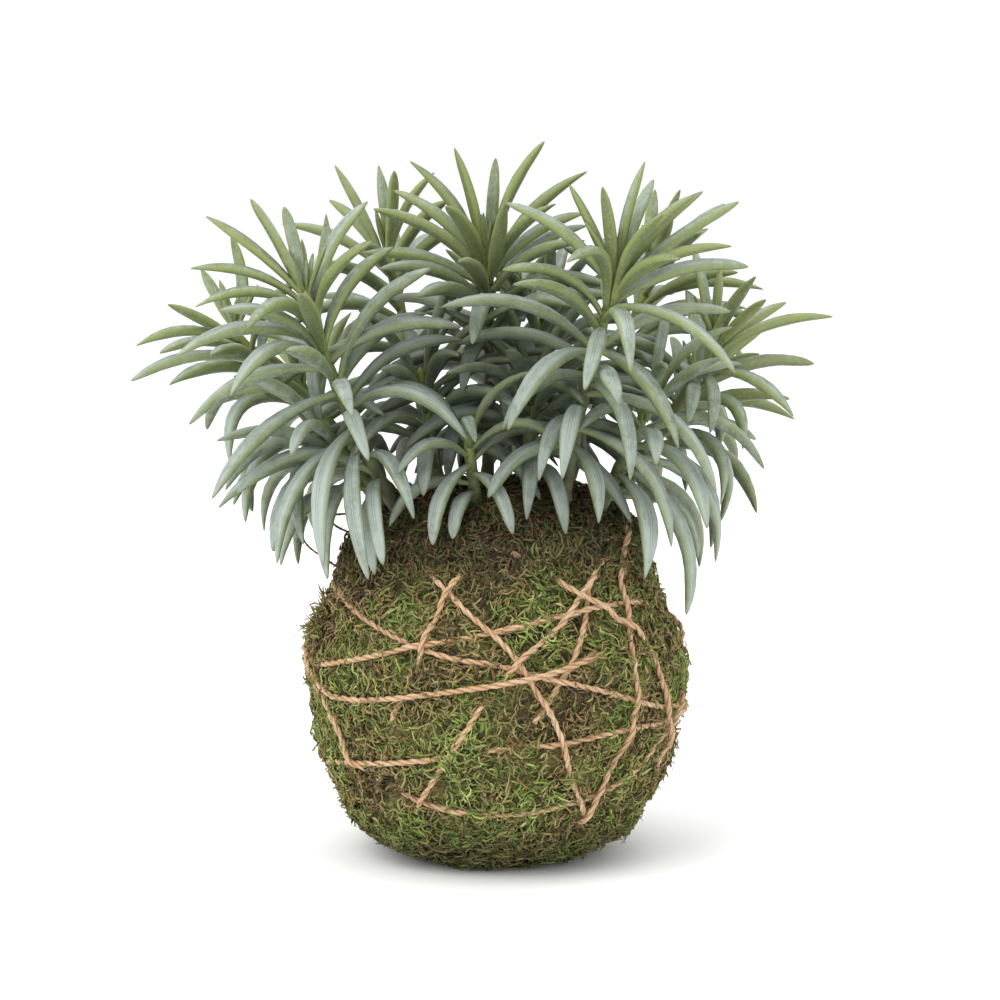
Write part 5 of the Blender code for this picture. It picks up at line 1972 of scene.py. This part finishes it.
@dataclass
class Tendrils:
    """Dark wiry moss stalks that stand out from the neck.

    Attributes:
        pattern: A rod with many rings.
        routes: Each stalk's points in mm.
        radius: How thick the stalks are.
        tint: Their colour.
    """

    pattern: Pattern
    routes: tuple[tuple[tuple[float, float, float], ...], ...] = (
        ((-45, -18, 93), (-50, -20, 95.5), (-54, -21, 98.5), (-59, -22, 102.5), (-60.5, -22, 108)),
        ((-43, -20, 105), (-48, -21, 107.5), (-51.5, -22, 110), (-54.2, -22, 113.5), (-56.5, -22, 116)),
        ((-44, -18, 107), (-49, -18, 112), (-54, -19, 113), (-58, -20, 115), (-60, -20, 113)),
        ((6, 44, 104), (8, 50, 106), (8, 55, 109), (6, 57, 113), (3, 56, 114)),
    )
    radius: float = 0.42 * MM
    tint: Colour = srgb(84, 66, 42)

    def build(self, finish: Material) -> Piece:
        """Bends a rod along each route.

        Args:
            finish: What the stalks are dressed in.

        Returns:
            The piece.
        """
        x = self.pattern.points[:, 0]
        rows = []
        for route in self.routes:
            stops = np.array(route, float) * MM
            knots = run_of(stops) / run_of(stops)[-1]
            fit = [np.polyfit(knots, stops[:, axis], 4) for axis in range(3)]
            centre = np.stack([np.polyval(line, x) for line in fit], axis=1)
            ahead = units(np.stack([np.polyval(np.polyder(line), x) for line in fit], axis=1))
            side = units(np.cross(ahead, [0.31, 0.23, 0.92]))
            size = self.radius * (1.1 - 0.5 * x + 0.28 * np.sin(47 * x) * np.sin(29 * x + 1))
            top = np.cross(ahead, side)
            rows.append(bent(self.pattern, centre[None], side[None], top[None], size[None]))
        piece = copied("moss_tendrils", self.pattern, np.concatenate(rows))
        count = len(piece.data.vertices)
        tag(piece, "moss_tint", np.tile(self.tint[:3], (count, 1)))
        # The stalks' seed, and their darkening toward the shade colour, are both 0.3.
        place = np.column_stack([np.tile(0.3 + 0.7 * x, len(rows)), np.full((count, 2), 0.3)])
        tag(piece, "moss_place", place)
        return dressed(piece, finish, "moss_wrap")


@dataclass
class Twine:
    """The jute twine: two plies twisted round each other, with loose fibres.

    Attributes:
        path: The twine's centre line.
        fibre: The shape of a loose fibre.
        step: The distance between a ply's rings.
        pitch: The length in which the plies go once round.
        plies: How many plies there are.
        ply_sides: How many corners a ply's section has.
        ply_radius: Each ply's own radius.
        offset: How far a ply's centre lies from the twine's.
        fibres: How many loose fibres stand off it.
        frayed: How many more stand off its free end.
        map_rows: How many rows the plies' flat map is laid out in.
    """

    path: TwinePath
    fibre: Pattern
    step: float = 1.0 * MM
    pitch: float = 8.5 * MM
    plies: int = 2
    ply_sides: int = 6
    ply_radius: float = 0.61 * MM
    offset: float = 0.35 * MM
    fibres: int = 4200
    frayed: int = 60
    map_rows: int = 36

    def _line(self) -> Rows:
        """Reads the path at even steps.

        Returns:
            The run, the points and the directions there.
        """
        run = run_of(self.path.points)
        even = np.linspace(0, run[-1], int(run[-1] / self.step))
        points = softened(read_along(even, run, self.path.points), 3)
        out = units(read_along(even, run, self.path.out))
        ahead = units(np.gradient(points, axis=0))
        side = units(np.cross(out, ahead))
        out = np.cross(ahead, side)
        return {"run": even, "points": points, "ahead": ahead, "side": side, "out": out}

    def build(self, finish: Material) -> list[Piece]:
        """Winds the plies and lays the loose fibres."""
        line = self._line()
        return [self._plies(line, finish), self._fuzz(line, finish)]

    def _plies(self, line: Rows, finish: Material) -> Piece:
        """Twists the plies round each other.

        Args:
            line: The twine's centre line and directions.
            finish: What the plies are dressed in.

        Returns:
            The piece.
        """
        stations = len(line["run"])
        pattern = ring_pattern(stations, self.ply_sides)
        spot = np.round(pattern.points[:, 0] * (stations - 1)).astype(int)
        dice = np.random.default_rng(9)
        slack = np.interp(line["run"], np.linspace(0, line["run"][-1], 260), dice.normal(0, 0.55, 260))
        rows = []
        for ply in range(self.plies):
            turn = line["run"] / self.pitch * FULL_TURN + slack + ply * FULL_TURN / self.plies
            away = line["side"] * np.cos(turn)[:, None] + line["out"] * np.sin(turn)[:, None]
            swell = np.interp(line["run"], line["run"][::4], dice.normal(1, 0.07, len(line["run"][::4])))
            centre = line["points"] + away * self.offset
            ahead = units(np.gradient(centre, axis=0))
            across = units(np.cross(away, ahead))
            size = self.ply_radius * swell
            fields = [centre[None], across[None], np.cross(ahead, across)[None], size[None]]
            rows.append(bent(pattern, *[values[:, spot] for values in fields]))
        piece = copied("twine_plies", pattern, np.concatenate(rows))
        self._chart(piece, pattern)
        y, z = pattern.points[:, 1:].T
        turn = abs(np.arctan2(y, z) / FULL_TURN) * 2
        place = [np.column_stack([line["run"][spot] + ply, turn, z]) for ply in range(self.plies)]
        tag(piece, "ply_place", np.concatenate(place))
        return dressed(piece, finish, "twine")

    def _chart(self, piece: Piece, pattern: Pattern) -> None:
        """Lays the plies' map out in rows, like text, so that it has detail all along.

        Args:
            piece: The piece with the plies.
            pattern: The tube that each ply is.
        """
        rows = self.map_rows
        across, along = np.tile(pattern.chart, (self.plies, 1)).T
        ply = np.repeat(np.arange(self.plies), len(pattern.chart))
        sizes = np.diff(np.append(pattern.starts, len(pattern.corners)))
        row = np.minimum(np.floor(pattern.chart[pattern.starts, 1] * rows), rows - 1)
        row = np.tile(np.repeat(row, sizes), self.plies)
        u = 0.01 + 0.96 * (along * rows - row)
        v = (row * self.plies + ply + 0.08 + 0.84 * across) / (rows * self.plies)
        chart = piece.data.uv_layers[MAP]
        chart.data.foreach_set("uv", np.stack([u, v], axis=1).astype(np.float32).ravel())

    def _fuzz(self, line: Rows, finish: Material) -> Piece:
        """Lays loose fibres along the twine, and a frayed brush at its free end.

        Args:
            line: The twine's centre line and directions.
            finish: What the fibres are dressed in.

        Returns:
            The piece.
        """
        dice = np.random.default_rng(10)
        last = len(line["run"]) - 2
        spot = np.append(dice.integers(2, last, self.fibres), last - dice.integers(0, 4, self.frayed))
        count = len(spot)
        turn = dice.uniform(0, FULL_TURN, count)
        away = line["side"][spot] * np.cos(turn)[:, None] + line["out"][spot] * np.sin(turn)[:, None]
        way = np.where(dice.random(count) < 0.5, -1, 1)
        way[-self.frayed :] = 1
        spread = dice.uniform(0.05, 0.8, count)
        first = units(line["ahead"][spot] * way[:, None] + away * spread[:, None])
        length = dice.uniform(1.5, 5.5, count) * MM
        curl = units(dice.normal(size=(count, 3))) * dice.uniform(0, 0.4, count)[:, None]
        x = self.fibre.points[:, 0][None, :, None]
        start = line["points"][spot] + away * (self.offset + 0.45 * MM)
        back = 0.25 * x**2 * away[:, None] * spread[:, None, None]
        path = x * first[:, None] + x**2 * curl[:, None] - back
        centre = start[:, None] + length[:, None, None] * path
        ahead = units(first[:, None] + 2 * x * curl[:, None])
        side = units(np.cross(ahead, away[:, None]))
        size = dice.uniform(0.045, 0.085, count)[:, None] * MM
        places = bent(self.fibre, centre, side, np.cross(ahead, side), size)
        places[..., 2] = np.maximum(places[..., 2], 0.05 * MM)
        piece = copied("twine_fibres", self.fibre, places)
        own = np.column_stack([line["run"][spot], turn / FULL_TURN, np.full(count, 0.8)])
        tag(piece, "ply_place", np.repeat(own, x.shape[1], axis=0))
        return dressed(piece, finish, "twine")


# ---- the studio


@dataclass
class Lamp:
    """One soft square light: where it stands, its size in metres, its power and what it lights."""

    name: str
    place: tuple[float, float, float]
    size: float
    power: float
    aim: tuple[float, float, float] = (0, 0, 0.12)

    def build(self) -> None:
        """Hangs the light."""
        light = bpy.data.lights.new(self.name, "AREA")
        light.shape = "SQUARE"
        light.size = self.size
        light.energy = self.power
        lamp = bpy.data.objects.new(self.name, light)
        lamp.location = self.place
        toward = Vector(self.aim) - Vector(self.place)
        lamp.rotation_euler = toward.to_track_quat("-Z", "Y").to_euler()
        bpy.context.scene.collection.objects.link(lamp)


@dataclass
class Studio:
    """A pale floor, soft light from above and all round, and the camera in front."""

    elevation: float = 8.0
    distance: float = 1.1
    aim: tuple[float, float, float] = (0.0013, 0.0, 0.114)
    lens: float = 123.75
    glow: float = 1.04
    lamps: list[Lamp] = field(
        default_factory=lambda: [
            Lamp("key", (-1.0, -1.0, 1.3), 1.3, 18),
            Lamp("top", (0.0, 0.1, 1.7), 1.5, 12),
            Lamp("fill", (1.2, -1.1, 0.7), 1.2, 3),
        ]
    )

    def build(self) -> None:
        """Sets up the floor, the lights, the surroundings and the camera."""
        bpy.ops.mesh.primitive_plane_add(size=12)
        floor = bpy.context.object
        floor.name = "floor"
        floor.data.materials.append(FloorFinish().build())
        for lamp in self.lamps:
            lamp.build()
        world = bpy.data.worlds.new("surroundings")
        world.use_nodes = True
        back = world.node_tree.nodes["Background"]
        back.inputs["Color"].default_value = (1, 1, 1, 1)
        back.inputs["Strength"].default_value = self.glow
        bpy.context.scene.world = world
        bpy.context.scene.view_settings.view_transform = "Standard"
        self._camera()

    def _camera(self) -> None:
        """Puts the camera in front, a little above the middle."""
        lens = bpy.data.cameras.new("camera")
        lens.lens = self.lens
        lens.sensor_width = 36
        lens.clip_start = 0.01
        camera = bpy.data.objects.new("camera", lens)
        rise = math.radians(self.elevation)
        back = Vector((0, -math.cos(rise), math.sin(rise))) * self.distance
        camera.location = Vector(self.aim) + back
        camera.rotation_euler = (-back).to_track_quat("-Z", "Y").to_euler()
        bpy.context.scene.collection.objects.link(camera)
        bpy.context.scene.camera = camera


def corners(box: Sequence[Vector]) -> list[list[float]]:
    """A box's two corners as plain lists."""
    return [[float(value) for value in corner] for corner in box]


def main() -> None:
    """Builds every piece in order."""
    logging.basicConfig(level=logging.INFO, format="%(name)s: %(message)s")
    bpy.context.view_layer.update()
    Studio().build()
    plant = Plant()
    LOG.info("grew %d leaves", sum(len(blades) for blades in plant.blades.values()))
    twine_path = TwinePath()
    surface = MossSurface(twine_path)

    leaf = LeafShape().model()
    leaf_finish = LeafFinish().build()
    stem_rod = new_rod(list(np.linspace(0, 1, 48)), 8)
    stem_finish = StemFinish().build()
    for seed, shoot in enumerate(SHOOTS):
        foliage = Foliage(plant, shoot.name, leaf, seed).build(leaf_finish)
        stem = Stem(plant, shoot.name, stem_rod, seed).build(stem_finish)
        LOG.info("%s and %s", foliage.name, stem.name)

    bed = MossBed(surface).build(MossBedFinish().build())
    frond, leaflet = new_rod([0, 0.25, 0.5, 0.75, 1], 3), new_rod([0, 1], 3)
    moss_finish = MossFinish().build()
    pieces = [bed, *MossFronds(surface, moss_finish, frond, leaflet).build()]
    pieces.append(Tendrils(new_rod(list(np.linspace(0, 1, 36)), 6)).build(moss_finish))
    fibre = new_rod([0, 0.5, 1], 3)
    pieces += Twine(twine_path, fibre).build(TwineFinish().build())
    for piece in pieces:
        LOG.info("%s, %d faces", piece.name, len(piece.data.polygons))

    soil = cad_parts["soil_ball"]
    soil.material_slots[0].material = SoilFinish().build()
    LOG.info("soil_ball keeps its shape")


if __name__ == "__main__":
    main()
